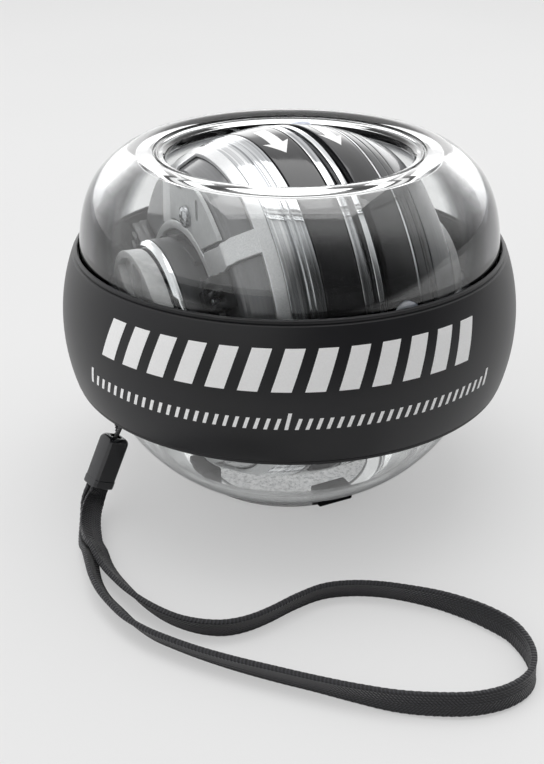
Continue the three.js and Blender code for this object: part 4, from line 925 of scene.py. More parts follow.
def slanted_bar(middle, height, width, low, lean):
    return [(middle - width / 2 - lean / 2, low), (middle + width / 2 - lean / 2, low),
            (middle + width / 2 + lean / 2, low + height), (middle - width / 2 + lean / 2, low + height)]


print("the band's front is at, mm:", [round(value, 1) for value in on_band(0, 0, 0)])

# %% Printed graphic
BAR_COUNT, BAR_PITCH, BAR_WIDTH, BAR_HEIGHT, BAR_LOW, BAR_LEAN = 13, 4.55, 2.75, 5.8, 1.4, 1.9
TICK_COUNT, TICK_PITCH, TICK_WIDTH, TICK_HEIGHT, TICK_LOW, TICK_LEAN = 47, 1.42, 0.5, 1.7, -4.2, 0.55
LONG_TICK_EVERY, LONG_TICK_SHARE = 23, 1.5
INK_THICKNESS = 0.05
printing_ink = new_material("pad_printing_ink_white", Roughness=0.5, IOR=1.5)
give_grain(printing_ink, 4, (0.3, "#f9f9f9"), (0.7, "#fefefe"), detail=2.0)
marks = [slanted_bar((i - (BAR_COUNT - 1) / 2) * BAR_PITCH, BAR_HEIGHT, BAR_WIDTH, BAR_LOW, BAR_LEAN)
         for i in range(BAR_COUNT)]
for i in range(TICK_COUNT):
    middle = (i - (TICK_COUNT - 1) / 2) * TICK_PITCH
    tick_height = TICK_HEIGHT * (1 if i % LONG_TICK_EVERY else LONG_TICK_SHARE)
    marks.append(slanted_bar(middle, tick_height, TICK_WIDTH, TICK_LOW, TICK_LEAN))
dress("band_graphic_printed", marks_mesh(marks, on_band, 0.6, INK_THICKNESS), "casing", printing_ink)
print("marks on the band:", len(marks))

# %% [markdown]
# ## The ring and its seats
# The precession ring is turned aluminium with a satin surface. Two white acetal seats close its inside and
# hold the axle's ends. Each seat has ribs that fan out from the axle. The right seat holds two magnets.
# A turned surface shows fine rings round its axis: here a noise that changes with radius and height only.
# A lathe leaves marks about 0.1 mm apart; all turned pieces here have them 0.2 to 1.2 mm apart, so that
# they show.

# %% Turned finish
def turned_finish(material, spacing_mm, relief, low_rough, high_rough, *stops):
    coordinates = add_node(material, "TexCoord")
    parts = add_node(material, "SeparateXYZ", {"Vector": coordinates.outputs["Object"]})
    flat = add_node(material, "CombineXYZ", {"X": parts.outputs["X"], "Y": parts.outputs["Y"]})
    radius = add_node(material, "VectorMath", {0: flat.outputs["Vector"]}, operation="LENGTH")
    lines = add_node(material, "CombineXYZ", {"X": radius.outputs["Value"], "Y": parts.outputs["Z"]})
    noise = add_node(material, "TexNoise", {
        "Vector": lines.outputs["Vector"], "Scale": 1 / (spacing_mm * MM), "Detail": 3.0,
    }, noise_dimensions="2D").outputs["Fac"]
    rough = add_node(material, "MapRange", {"Value": noise, "From Min": 0.3, "From Max": 0.7,
                                            "To Min": low_rough, "To Max": high_rough})
    wire(material, Base_Color=colour_steps(material, noise, *stops), Roughness=rough.outputs["Result"])
    raise_surface(material, noise, relief, 0.03)


satin_aluminium = new_material("aluminium_turned_satin", Metallic=1.0)
turned_finish(satin_aluminium, 0.3, 0.2, 0.25, 0.4, (0.3, "#bfc0c2"), (0.7, "#dcdddf"))
print("material:", satin_aluminium.name)

# %% Precession ring
RING_BORE, RING_OUTSIDE, FLANGE_RADIUS, RING_HALF_HEIGHT, FLANGE_HALF_HEIGHT = 28.9, 30.2, 31.7, 2.6, 1.2
upper_half = [(FLANGE_RADIUS, FLANGE_HALF_HEIGHT), (RING_OUTSIDE, FLANGE_HALF_HEIGHT),
              (RING_OUTSIDE, RING_HALF_HEIGHT), (RING_BORE, RING_HALF_HEIGHT)]
ring_profile = [(radius, -height) for radius, height in reversed(upper_half)] + upper_half
lathe_piece("precession_ring_turned", ring_profile, "ring", satin_aluminium,
            ["precession_ring"], edge=0.2, segments=192)
print("ring's outer radius, mm:", FLANGE_RADIUS)

# %% White acetal seats
SEAT_RADIUS, SEAT_REACH, SEAT_NEAR, SEAT_RIM, SEAT_RECESS = 12.0, 25.74, 23.14, 1.1, 1.2
BOSS_RADIUS, BORE = 3.25, 1.4
RIB_COUNT, RIB_LENGTH, RIB_WIDTH, RIB_PLACE = 8, 8.4, 1.0, 7.1
POCKET_RADIUS, POCKET_PLACE, POCKET_DEPTH = 1.75, 9.0, 1.25
white_acetal = new_material("acetal_white_moulded", Roughness=0.38, IOR=1.48)
give_grain(white_acetal, 0.9, (0.3, "#d8d9d9"), (0.7, "#ececec"))
disc_face, rim_inside = SEAT_REACH - SEAT_RECESS, SEAT_RADIUS - SEAT_RIM
seat_profile = [
    (BORE, SEAT_NEAR), (SEAT_RADIUS, SEAT_NEAR), (SEAT_RADIUS, SEAT_REACH), (rim_inside, SEAT_REACH),
    (rim_inside, disc_face), (BOSS_RADIUS, disc_face), (BOSS_RADIUS, SEAT_REACH), (BORE, SEAT_REACH),
]


def seat_mesh(pocket_angles=()):
    mesh = turned_mesh(soften(seat_profile, 0.15), segments=96)
    for i in range(RIB_COUNT):
        rib = box(RIB_LENGTH, RIB_WIDTH, disc_face - 0.1, SEAT_REACH - 0.1, RIB_PLACE, 0, 0.12)
        mesh = combine(mesh, moved(rib, turned_by(i * 2 * math.pi / RIB_COUNT)), "UNION")
    for angle in pocket_angles:
        pocket = prism(circle(POCKET_RADIUS, x=POCKET_PLACE), SEAT_NEAR - 0.15, SEAT_NEAR + POCKET_DEPTH)
        mesh = combine(mesh, moved(pocket, turned_by(angle)), "DIFFERENCE")
    return mesh


for name, mesh in (("left_axle_seat", moved(seat_mesh(), Matrix.Rotation(math.pi, 4, "X"))),
                   ("right_axle_seat", seat_mesh((0, math.pi)))):
    dress(name + "_moulded", mesh, "ring", white_acetal, [name], at=rotor_frame)
print("ribs on a seat:", RIB_COUNT)

# %% [markdown]
# ## Axle, spring barrel and bezel
# The axle is ground steel. Left of the rotor it carries the starter: a dark barrel with a wound spring in
# it and ratchet teeth at its foot, closed by a bright bezel and a black seal.
# Chrome plate is nearly a mirror and shows what is round it, so its colour is light and its roughness low.

# %% Steel and chrome
ground_steel = new_material("steel_ground", Metallic=1.0)
turned_finish(ground_steel, 0.2, 0.15, 0.2, 0.35, (0.3, "#a9abae"), (0.7, "#c6c8cb"))
chrome_plate = new_material("chrome_plate_bright", Metallic=1.0)
turned_finish(chrome_plate, 0.5, 0.06, 0.05, 0.1, (0.3, "#dfe1e3"), (0.7, "#f0f1f2"))
print("materials:", ground_steel.name, chrome_plate.name)

# %% Axle, bezel and seal
AXLE_REACH, AXLE_RADIUS = 31.6, 1.25
BARREL_RADIUS, BARREL_NEAR, BARREL_FAR, BARREL_WALL = 13.195, 17.3, 21.69, 1.0
BEZEL_NEAR, BEZEL_FAR, BEZEL_WIDTH = 21.84, 22.84, 1.3
SEAL_INNER, SEAL_OUTER, SEAL_NEAR = 10.55, 11.74, 20.79
axle_end = [(AXLE_RADIUS, AXLE_REACH - AXLE_RADIUS / 2), (AXLE_RADIUS / 2, AXLE_REACH), (0, AXLE_REACH)]
axle_outline = [(radius, -place) for radius, place in reversed(axle_end)] + axle_end
lathe_piece("axle_ground", axle_outline, "axle", ground_steel, ["axle"], 0.1, closed=False,
            segments=48)
bezel_inside = BARREL_RADIUS - BEZEL_WIDTH
bezel_outline = [(bezel_inside, -BEZEL_NEAR), (bezel_inside, -BEZEL_FAR + 0.05),
                 (BARREL_RADIUS - 0.75, -BEZEL_FAR), (BARREL_RADIUS - 0.2, -BEZEL_FAR + 0.44),
                 (BARREL_RADIUS, -BEZEL_NEAR)]
lathe_piece("barrel_bezel_chromed", bezel_outline, "axle", chrome_plate, ["barrel_bezel"])
lathe_piece("barrel_seal_moulded", ring_outline(SEAL_INNER, SEAL_OUTER, -BEZEL_NEAR, -SEAL_NEAR), "axle",
            black_rubber, ["barrel_seal"], edge=0.25, segments=128)
print("axle's length, mm:", 2 * AXLE_REACH)

# %% Spring barrel
RATCHET_RADIUS, TOOTH_COUNT, TOOTH_HEIGHT = 13.895, 12, 1.2
CROWN_BORE = 12.7
dark_nylon = new_material("nylon_filled_dark_grey", Roughness=0.42, IOR=1.53)
turned_finish(dark_nylon, 0.8, 0.05, 0.38, 0.48, (0.3, "#37383a"), (0.7, "#444548"))
floor_face = -BARREL_NEAR - 1
barrel_outline = [(BORE, floor_face), (BORE, -BARREL_NEAR), (BARREL_RADIUS, -BARREL_NEAR),
                  (BARREL_RADIUS, -BARREL_FAR), (BARREL_RADIUS - BARREL_WALL, -BARREL_FAR),
                  (BARREL_RADIUS - BARREL_WALL, floor_face)]
barrel_mesh = turned_mesh(soften(barrel_outline, 0.15), segments=128)
tooth = [(RATCHET_RADIUS, 0), (BARREL_RADIUS - 0.2, 0.02), (BARREL_RADIUS + 0.1, 0.2),
         (BARREL_RADIUS + 0.42, 0.38)]
teeth = [(reach * math.cos(angle + start), reach * math.sin(angle + start))
         for start in np.arange(TOOTH_COUNT) * 2 * math.pi / TOOTH_COUNT for reach, angle in tooth]
crown = prism(teeth, -BARREL_NEAR - TOOTH_HEIGHT, -BARREL_NEAR - 0.02, 0.06, 1)
crown = combine(crown, prism(circle(CROWN_BORE, 96), -20, -16), "DIFFERENCE")
barrel_mesh = combine(barrel_mesh, crown, "UNION")
dress("spring_barrel_moulded", barrel_mesh, "axle", dark_nylon, ["spring_barrel"], 30)
print("ratchet teeth:", TOOTH_COUNT)

# %% [markdown]
# ## The rotor's skin
# The rotor is a heavy flywheel under a skin of rings: satin chrome bands, dark glossy panels, a black groove
# with a thin bright ring in it and a smoked band. All lie on one gently crowned curve along the axle.
# Each ring is its own lathe piece, 1.6 mm thick, with a 0.2 mm joint to the next.

# %% The rotor's curve
HALF_WIDTH, ROTOR_RADIUS, ROTOR_CROWN, SKIN, JOINT = 17.0, 27.384, 33.5, 1.6, 0.1
LINE_DEPTH, LINE_WIDTH = 0.12, 0.14
EDGE_SHARES = (-0.794, -0.688, -0.406, -0.1, -0.02, 0.152, 0.44, 0.47, 0.65)


def skin_radius(place):
    return ROTOR_RADIUS - ROTOR_CROWN + math.sqrt(ROTOR_CROWN ** 2 - place ** 2)


def skin_outline(start, end, proud=0.0, thickness=SKIN, steps=8):
    places = np.linspace(start + JOINT, end - JOINT, steps + 1)
    outside = [(skin_radius(place) + proud, place) for place in places]
    return outside + [(radius - thickness, place) for radius, place in reversed(outside)]


def with_lines(start, end, line_places):
    places = list(np.linspace(start + JOINT, end - JOINT, 9))
    for place in line_places:
        places += [place - LINE_WIDTH, place - LINE_WIDTH / 2, place + LINE_WIDTH / 2, place + LINE_WIDTH]
    places = np.unique(np.round(places, 3))
    outside = []
    for place in places:
        near = min(abs(place - line) for line in line_places)
        outside.append((skin_radius(place) - (LINE_DEPTH if near < LINE_WIDTH * 0.75 else 0), place))
    return outside + [(skin_radius(place) - SKIN, place) for place in places[::-1]]


edge_places = [round(share * HALF_WIDTH, 3) for share in EDGE_SHARES]
hoop_start, chrome_start, left_panel_start, centre_start, groove_start = edge_places[:5]
right_panel_start, trim_start, smoke_start, cup_start = edge_places[5:]
print("edges along the axle, mm:", edge_places)

# %% [markdown]
# The chrome bands are turned before plating, so they show soft rings round the axle. The panels are dark
# acrylic with a high gloss. A panel is almost black from above and lighter where it mirrors the light.

# %% Finishes of the skin
satin_chrome = new_material("chrome_plate_satin", Metallic=1.0)
turned_finish(satin_chrome, 0.7, 0.12, 0.05, 0.14, (0.3, "#8b8d90"), (0.5, "#c9cbcd"), (0.68, "#eff0f1"))
gloss_acrylic = new_material("acrylic_dark_gloss", IOR=1.49, Coat_Weight=0.35, Coat_Roughness=0.08)
turned_finish(gloss_acrylic, 1.2, 0.02, 0.08, 0.16, (0.3, "#1c1c1e"), (0.7, "#242427"))
smoked_polycarbonate = new_material("polycarbonate_smoked", IOR=POLYCARBONATE_IOR, Transmission_Weight=0.35)
turned_finish(smoked_polycarbonate, 0.9, 0.03, 0.1, 0.18, (0.3, "#505153"), (0.7, "#646567"))
print("materials:", satin_chrome.name, gloss_acrylic.name, smoked_polycarbonate.name)

# %% Rings of the skin
CHROME_LINES, SMOKE_LINES = (-9.2, -8.5), (9.6,)
GROOVE_DEPTH, GROOVE_SKIN, TRIM_TOP, TRIM_FOOT = 1.3, 0.3, 0.15, 1.15
TRIM_LOW_SHARE, TRIM_HIGH_SHARE = 0.36, 0.66
groove_width = right_panel_start - groove_start
trim_low, trim_high = (groove_start + share * groove_width for share in (TRIM_LOW_SHARE, TRIM_HIGH_SHARE))
trim_radius = skin_radius(trim_low)
trim_outline = ring_outline(trim_radius - TRIM_FOOT, trim_radius - TRIM_TOP, trim_low, trim_high)
SKIN_RINGS = [
    ("left_chrome_band_turned", "left_chrome_band", with_lines(chrome_start, left_panel_start, CHROME_LINES),
     satin_chrome, "chrome", 0.1),
    ("left_panel_gloss", "left_panel", skin_outline(left_panel_start, centre_start), gloss_acrylic,
     "dark_panel", 0.12),
    ("centre_chrome_band_turned", "centre_chrome_band", skin_outline(centre_start, groove_start),
     satin_chrome, "chrome", 0.12),
    ("groove_trim_chromed", "groove_trim_ring", trim_outline, chrome_plate, "chrome", 0.12),
    ("right_trim_chromed", "right_trim_ring", skin_outline(trim_start, smoke_start, steps=3), chrome_plate,
     "chrome", 0.1),
    ("smoke_band_gloss", "smoke_band", with_lines(smoke_start, cup_start, SMOKE_LINES), smoked_polycarbonate,
     "smoked_plastic", 0.1),
]
for name, node, outline, material, slot, edge in SKIN_RINGS:
    lathe_piece(name, outline, "rotor", material, [node], edge, segments=192)
groove_outline = skin_outline(groove_start, right_panel_start, -GROOVE_DEPTH, GROOVE_SKIN)
lathe_piece("groove_ring_moulded", groove_outline, "rotor", black_abs, ["groove_ring"],
            0.08)
print("rings of the skin:", len(SKIN_RINGS) + 1)

# %% [markdown]
# ## The right panel and its lights
# The right panel has four round holes, and in each sits a clear dome over a white light.
# The holes are cut with a Boolean, and the domes are small lathe pieces that stand 0.5 mm proud.

# %% Panel with holes
LENS_PLACE, LENS_RADIUS, LENS_CURVE, LENS_PROUD, LENS_BORE = 0.296 * HALF_WIDTH, 2.0, 0.9, 0.5, 2.1
LENS_ANGLES = [math.radians(76 + 90 * i) for i in range(4)]
lens_foot = skin_radius(LENS_PLACE) - SKIN


def outward_from_axle(mesh, angle):
    return moved(mesh, Matrix.Rotation(math.pi / 2, 4, "Y"), Matrix.Translation((0, 0, LENS_PLACE * MM)),
                 turned_by(angle))


panel_mesh = turned_mesh(soften(skin_outline(right_panel_start, trim_start), 0.12), segments=192)
for angle in LENS_ANGLES:
    drill = prism(circle(LENS_BORE, 48), lens_foot - 1, lens_foot + 4)
    panel_mesh = combine(panel_mesh, outward_from_axle(drill, angle), "DIFFERENCE")
dress("right_panel_gloss", panel_mesh, "rotor", gloss_acrylic, ["right_panel"], 30)
print("panel's faces:", len(panel_mesh.polygons))

# %% Lenses
lens_glass = new_material("polycarbonate_lens_milky", Roughness=0.06, IOR=POLYCARBONATE_IOR,
                          Transmission_Weight=0.3, Coat_Weight=0.5, Coat_Roughness=0.03)
facing = add_node(lens_glass, "LayerWeight", {"Blend": 0.35})
tint = colour_steps(lens_glass, facing.outputs["Facing"], (0.0, "#f4f7ff"), (0.6, "#dde6ff"),
                    (1.0, "#8fa2e0"))
wire(lens_glass, Base_Color=tint)
lens_shoulder = lens_foot + SKIN + LENS_PROUD - LENS_CURVE
lens_outline = [(0, lens_foot), (LENS_RADIUS, lens_foot), (LENS_RADIUS, lens_shoulder)]
lens_outline += [(LENS_RADIUS * math.cos(a), lens_shoulder + LENS_CURVE * math.sin(a))
                 for a in np.linspace(0.15, math.pi / 2, 10)]
for i, angle in enumerate(LENS_ANGLES):
    mesh = outward_from_axle(turned_mesh(lens_outline, False, 48), angle)
    dress(f"light_lens_dome_{i + 1}", mesh, "rotor", lens_glass, [f"light_lens_{i + 1}"], 40)
print("lenses:", len(LENS_ANGLES))

# %% [markdown]
# ## Direction arrows
# A white arrow on each dark panel shows which way the rotor is spun by the thumb, and the far side has the
# same two. They are printed, like the graphic on the band, so they are made in the same way.

# %% Arrows
ARROW_HEAD_LENGTH, ARROW_HEAD_WIDTH, ARROW_SHAFT_WIDTH, ARROW_BARB = 3.2, 4.0, 1.9, 0.5
ARROWS = ((-4, 16, -4.3), (-3.5, 15.5, 4.85))


def on_rotor(around, along, proud):
    angle, reach = around / ROTOR_RADIUS, skin_radius(along) + proud
    return reach * math.cos(angle), reach * math.sin(angle), along


def arrow(tail_degrees, tip_degrees, middle):
    tail, tip = (math.radians(angle) * ROTOR_RADIUS for angle in (tail_degrees, tip_degrees))
    neck, half_shaft, half_head = tip - ARROW_HEAD_LENGTH, ARROW_SHAFT_WIDTH / 2, ARROW_HEAD_WIDTH / 2
    barb = neck - ARROW_BARB
    return [(tail, middle - half_shaft), (neck, middle - half_shaft), (barb, middle - half_head), (tip, middle),
            (barb, middle + half_head), (neck, middle + half_shaft), (tail, middle + half_shaft)]


outlines = [arrow(tail + turn, tip + turn, place) for turn in (0, 180) for tail, tip, place in ARROWS]
dress("direction_arrows_printed", marks_mesh(outlines, on_rotor, 0.35, 0.04), "rotor", printing_ink)
print("arrows:", len(outlines))

# %% [markdown]
# ## End cups and housing
# At the left the rotor closes in a smoked housing, which sits behind the arms of a silver cage.
# At the right a smoked cup rounds over the end. Both are lathe pieces that follow the skin and turn in.

# %% Housing and right cup
CUP_BORE = 3.55


def cup_outline(start, side, proud, wall, corner, steps=10):
    places = np.linspace(start, HALF_WIDTH - wall, steps + 1)
    outside = [(skin_radius(place) + proud, side * place) for place in places]
    inside = [(skin_radius(place) + proud - wall, side * place) for place in places[::-1]]
    rim = skin_radius(HALF_WIDTH) + proud
    turn = [(rim - corner * (1 - math.cos(a)), side * (HALF_WIDTH - corner * (1 - math.sin(a))))
            for a in np.linspace(0.25, math.pi / 2, 7)]
    return outside + turn + [(CUP_BORE, side * HALF_WIDTH), (CUP_BORE, side * (HALF_WIDTH - wall))] + inside


smoked_housing = new_material("polycarbonate_smoked_light", IOR=POLYCARBONATE_IOR, Coat_Weight=0.4,
                              Coat_Roughness=0.05)
turned_finish(smoked_housing, 1.0, 0.03, 0.15, 0.25, (0.3, "#6a6b6d"), (0.7, "#7c7d7f"))
for node, outline in (("left_housing", cup_outline(11.8, -1, -0.6, 0.8, 0.6)),
                      ("right_end_cup", cup_outline(cup_start + JOINT, 1, 0.0, SKIN, 1.6))):
    lathe_piece(node + "_smoked", outline, "rotor", smoked_housing, [node], edge=0.1)
print("cups: 2")

# %% [markdown]
# ## The cage
# Six arms run from a hoop on the rotor's skin, over its left edge and in to a small hoop round the starter.
# Past the edge an arm leans 20 degrees off the radius. The arms are moulded ABS with a satin silver paint,
# whose flakes are drawn 0.2 mm across, coarser than real ones, so that they show as a soft grain. An arm is
# a flat strip, swept along the outline of the rotor's end.

# %% Silver paint and the hoops
ARM_WIDTH, ARM_ELBOW, ARM_LEAN = 3.5, 21.8, math.radians(20)
CAGE_HUB, CAGE_HUB_WIDTH, CAGE_FACE, CAGE_THICKNESS, HOOP_PROUD = 14.4, 1.2, 17.75, 0.6, 0.15
silver_paint = new_material("paint_silver_satin", Metallic=0.55, Roughness=0.36, IOR=1.5)
give_grain(silver_paint, 6, (0.3, "#d6d8d9"), (0.5, "#e2e3e4"), (0.7, "#eeefef"), detail=2.0)
hoop = skin_outline(hoop_start - JOINT, chrome_start + JOINT, HOOP_PROUD, CAGE_THICKNESS, 6)
hub_hoop = ring_outline(CAGE_HUB, CAGE_HUB + CAGE_HUB_WIDTH, -CAGE_FACE, -CAGE_FACE + CAGE_THICKNESS)
lathe_piece("silver_cage_hoop", hoop, "rotor", silver_paint, ["silver_cage"], 0.15,
            segments=192)
lathe_piece("silver_cage_hub", hub_hoop, "rotor", silver_paint, [], 0.15, segments=128)
print("hoops: 2")

# %% Arms
ARM_SECTION = ((-1.63, 0), (1.63, 0), (1.75, 0.12), (1.75, 0.5), (-1.75, 0.5), (-1.75, 0.12))
ARM_COUNT, ARM_PROUD, ARM_CORNER, ARM_SINK = 6, 0.13, 0.9, 0.02
ARM_BENDS = ((0.35, 7), (0.45, 7), (0.45, 6), (1.3, 0), (1.6, 0), (1.6, 0), (1.2, 0))


def arm_rings():
    outline = [(skin_radius(place) + ARM_PROUD, -place)
               for place in np.linspace(-chrome_start + 0.5, CAGE_FACE - 1.1, 10)]
    rim, face = skin_radius(CAGE_FACE) + ARM_PROUD, -CAGE_FACE + ARM_SINK
    outline += [(rim - ARM_CORNER * (1 - math.cos(a)), face + ARM_CORNER * (1 - math.sin(a)))
                for a in np.linspace(0.3, math.pi / 2, 6)]
    outline = np.array(outline)
    tangents = np.gradient(outline, axis=0)
    tangents /= np.linalg.norm(tangents, axis=1)[:, None]
    rings = []
    for (radius, place), (tangent_out, tangent_along) in zip(outline, tangents):
        section = []
        for beside, deep in ARM_SECTION:
            reach, along = radius + tangent_along * deep, place - tangent_out * deep
            section.append((math.sqrt(max(reach ** 2 - beside ** 2, 0)), beside, along))
        rings.append(section)
    x, y, lean = outline[-1][0], 0.0, 0.0
    for step, turn in ARM_BENDS:
        x, y = x - step * math.cos(lean), y - step * math.sin(lean)
        lean += math.radians(turn)
        rings.append([(x - math.sin(lean) * beside, y + math.cos(lean) * beside, face + deep)
                      for beside, deep in ARM_SECTION])
    return rings


for i in range(ARM_COUNT):
    arm = moved(clean_mesh(*skin_of(arm_rings())), turned_by(math.radians(45) + i * 2 * math.pi / ARM_COUNT))
    dress(f"silver_cage_arm_{i + 1}", arm, "rotor", silver_paint)
print("arms:", ARM_COUNT)

# %% [markdown]
# ## End plates and screws
# Three pale plates close every second gap between the arms. Each has a screw, two slots and a small hole.
# The screws are pan heads with a cross recess, cut with two crossed blocks.

# %% End plates
PLATE_INNER, PLATE_OUTER, PLATE_CORNER, PLATE_FACE, PLATE_FOOT = 15.8, 22.1, 21.0, -17.85, -17.15
HALF_TRACK = ARM_WIDTH / 2 + 0.2
PLATE_SLOTS = ((20.0, 1.6, 2.6, 0.9, -0.3), (19.9, -5.2, 2.4, 0.9, 1.2), (17.0, -3.9, 1.6, 1.0, 0.9),
               (17.43, -1.53, 2.0, 1.99, 0.0))
pale_abs = new_material("abs_pale_grey_satin", Roughness=0.42, IOR=1.54)
give_grain(pale_abs, 1.4, (0.3, "#d2d4d5"), (0.7, "#dddfdf"), detail=4.0, relief=0.15)


def round_slot(x, y, length, width, turn):
    half, radius = length / 2 - width / 2, width / 2
    right = [(half + radius * math.cos(a), radius * math.sin(a))
             for a in np.linspace(-math.pi / 2, math.pi / 2, 9)]
    ends = right + [(-along, -beside) for along, beside in right]
    return [(x + ex * math.cos(turn) - ey * math.sin(turn), y + ex * math.sin(turn) + ey * math.cos(turn))
            for ex, ey in ends]


def beside_arm(phase, side, radius):
    # The point at this radius on the line beside an arm's leaned length.
    heading = (-math.cos(ARM_LEAN), -math.sin(ARM_LEAN))
    x, y = ARM_ELBOW - math.sin(ARM_LEAN) * side * HALF_TRACK, math.cos(ARM_LEAN) * side * HALF_TRACK
    half = x * heading[0] + y * heading[1]
    reach = -half - math.sqrt(half * half - (x * x + y * y - radius * radius))
    x, y = x + heading[0] * reach, y + heading[1] * reach
    return math.hypot(x, y), phase + math.atan2(y, x)


def end_plate_mesh():
    arm_before, arm_after = -math.pi / 6, math.pi / 6
    outer_end = beside_arm(arm_after, -1, PLATE_OUTER)[1]
    inner_ends = beside_arm(arm_after, -1, PLATE_INNER)[1], beside_arm(arm_before, 1, PLATE_INNER)[1]
    first = arm_before + math.asin(HALF_TRACK / PLATE_OUTER)
    polar = [(PLATE_OUTER, a) for a in np.linspace(first, outer_end, 17)]
    polar += [(PLATE_INNER, a) for a in np.linspace(*inner_ends, 11)]
    polar += [beside_arm(arm_before, 1, PLATE_CORNER),
              (ARM_ELBOW, arm_before + math.asin(HALF_TRACK / ARM_ELBOW))]
    mesh = prism([(r * math.cos(a), r * math.sin(a)) for r, a in polar], PLATE_FACE, PLATE_FOOT, 0.1)
    for slot in PLATE_SLOTS:
        mesh = combine(mesh, prism(round_slot(*slot), PLATE_FACE - 0.65, PLATE_FOOT + 0.65), "DIFFERENCE")
    return mesh


for i in range(3):
    plate = moved(end_plate_mesh(), turned_by(math.radians(15 + 120 * i)))
    dress(f"end_plate_slotted_{i + 1}", plate, "rotor", pale_abs, [f"end_plate_{i + 1}"], 30)
print("plates: 3")

# %% Screws
SHANK_RADIUS, SHANK_LENGTH, RECESS_LENGTH, RECESS_WIDTH = 0.7, 2.4, 1.7, 0.38
SCREW_HEAD = [(1.4, 0), (1.4, 0.35), (1.25, 0.62), (0.9, 0.78), (0, 0.8)]
SCREW_PLACES = (("left", 17.5, 17.925, Matrix.Diagonal((1, -1, -1, 1))), ("right", 12.5, 17.075, Matrix()))


def screw_mesh():
    shank = [(0, -SHANK_LENGTH), (SHANK_RADIUS, -SHANK_LENGTH), (SHANK_RADIUS, 0)]
    mesh = turned_mesh(shank + SCREW_HEAD, False, 40)
    for turn in (0, math.pi / 2):
        recess = moved(box(RECESS_LENGTH, RECESS_WIDTH, 0.3, 1.2), turned_by(turn))
        mesh = combine(mesh, recess, "DIFFERENCE")
    return mesh


for i in range(3):
    for end, reach, face, flip in SCREW_PLACES:
        screw = moved(screw_mesh(), Matrix.Translation((reach * MM, 0, face * MM)), flip,
                      turned_by(math.radians(10 + 120 * i)))
        dress(f"{end}_screw_pan_head_{i + 1}", screw, "rotor", ground_steel,
              [f"{end}_screw_{i + 1}"], 30)
print("screws: 6")

# %% [markdown]
# ## Ratchet pawls
# Three black pawls stand beside the small hoop and reach in to the barrel's ratchet teeth.
# Each is a base with a nose, three ribs across it and a small steel pin.

# %% Pawls
PAWL_SIZE, PAWL_PLACE, PAWL_FACE, PAWL_TOP = 5.0, 18.3, -18.6, -19.9
PAWL_RIB_LENGTH, PAWL_RIB_WIDTH, PAWL_RIB_PITCH = 4.4, 0.8, 1.9
PIN_RADIUS, PIN_BESIDE = 0.45, 0.95


def pawl_mesh():
    mesh = box(PAWL_SIZE, PAWL_SIZE, PAWL_FACE, PLATE_FOOT, PAWL_PLACE, 0, 0.15)
    ribs = [box(PAWL_RIB_LENGTH, PAWL_RIB_WIDTH, PAWL_TOP, PAWL_FACE + 0.3, PAWL_PLACE + 0.1, y, 0.12)
            for y in (-PAWL_RIB_PITCH, 0.0, PAWL_RIB_PITCH)]
    nose = box(1.9, 2.5, PAWL_TOP + 0.05, PAWL_FACE + 0.7, 15.15, 0, 0.15)
    cross_rib = box(PAWL_RIB_WIDTH, 4.6, PAWL_TOP + 0.3, PAWL_FACE + 0.3, 16.3, 0.0, 0.12)
    for part in (nose, *ribs, cross_rib):
        mesh = combine(mesh, part, "UNION")
    return mesh


for i in range(3):
    turn = turned_by(math.radians(57 + 120 * i))
    dress(f"ratchet_pawl_ribbed_{i + 1}", moved(pawl_mesh(), turn), "rotor", black_abs,
          [f"ratchet_pawl_{i + 1}"], 30)
    pin_outline = [(0, PAWL_TOP + 0.2), (PIN_RADIUS, PAWL_TOP + 0.2), (PIN_RADIUS, PAWL_FACE + 0.1),
                   (0, PAWL_FACE + 0.1)]
    pin = turned_mesh(soften(pin_outline, 0.12, False), False, 24)
    pin = moved(pin, Matrix.Translation((PAWL_PLACE * MM, PIN_BESIDE * MM, 0)), turn)
    dress(f"pawl_pin_{i + 1}", pin, "rotor", ground_steel)
print("pawls: 3")

# %% [markdown]
# ## Hub, coil and mainspring
# Right of the rotor stand a chromed hub and a coil, wound of fine wire under pale polyester tape, which
# passes the magnets in the seat and lights the lamps. In the barrel the mainspring is a flat spiral of
# blued steel: 4.5 turns of strip between its arbor and the barrel's wall.

# %% Hub and coil
COIL_NEAR, COIL_WIDTH, COIL_INNER, COIL_OUTER, TAPE_LAP = 19.94, 2.6, 5.35, 9.4, 0.2
hub_outline = [(BORE, 17.15), (7.8, 17.15), (7.7, 17.5), (6.5, 18.45), (5.5, 19.3), (5.2, 20.2),
               (5.2, 22.54), (3.225, 22.84), (BORE, 22.84)]
lathe_piece("right_hub_chromed", hub_outline, "rotor", chrome_plate, ["right_hub"], 0.2,
            segments=128)
pale_tape = new_material("polyester_tape_pale", Roughness=0.4, IOR=1.58)
turned_finish(pale_tape, 0.35, 0.3, 0.35, 0.45, (0.3, "#c9cacb"), (0.7, "#e6e7e7"))
wrapped = [(COIL_OUTER - (TAPE_LAP if i % 2 else 0), COIL_NEAR + COIL_WIDTH * i / 16) for i in range(17)]
coil_outline = [(COIL_INNER, COIL_NEAR)] + wrapped + [(COIL_INNER, COIL_NEAR + COIL_WIDTH)]
lathe_piece("pickup_coil_taped", coil_outline, "rotor", pale_tape, ["pickup_coil"], 0.05,
            segments=128)
print("coil's width, mm:", COIL_WIDTH)

# %% Mainspring
SPRING_TURNS, SPRING_STEPS, SPRING_FIRST, SPRING_LAST = 4.5, 300, 3.92, 11.54
STRIP_THICKNESS, STRIP_LOW, STRIP_HIGH, STRIP_EDGE = 0.5, -20.54, -18.6, 0.05
blued_steel = new_material("spring_steel_blued", Metallic=1.0, Roughness=0.28)
give_grain(blued_steel, 0.8, (0.3, "#3d424c"), (0.7, "#6a7079"))


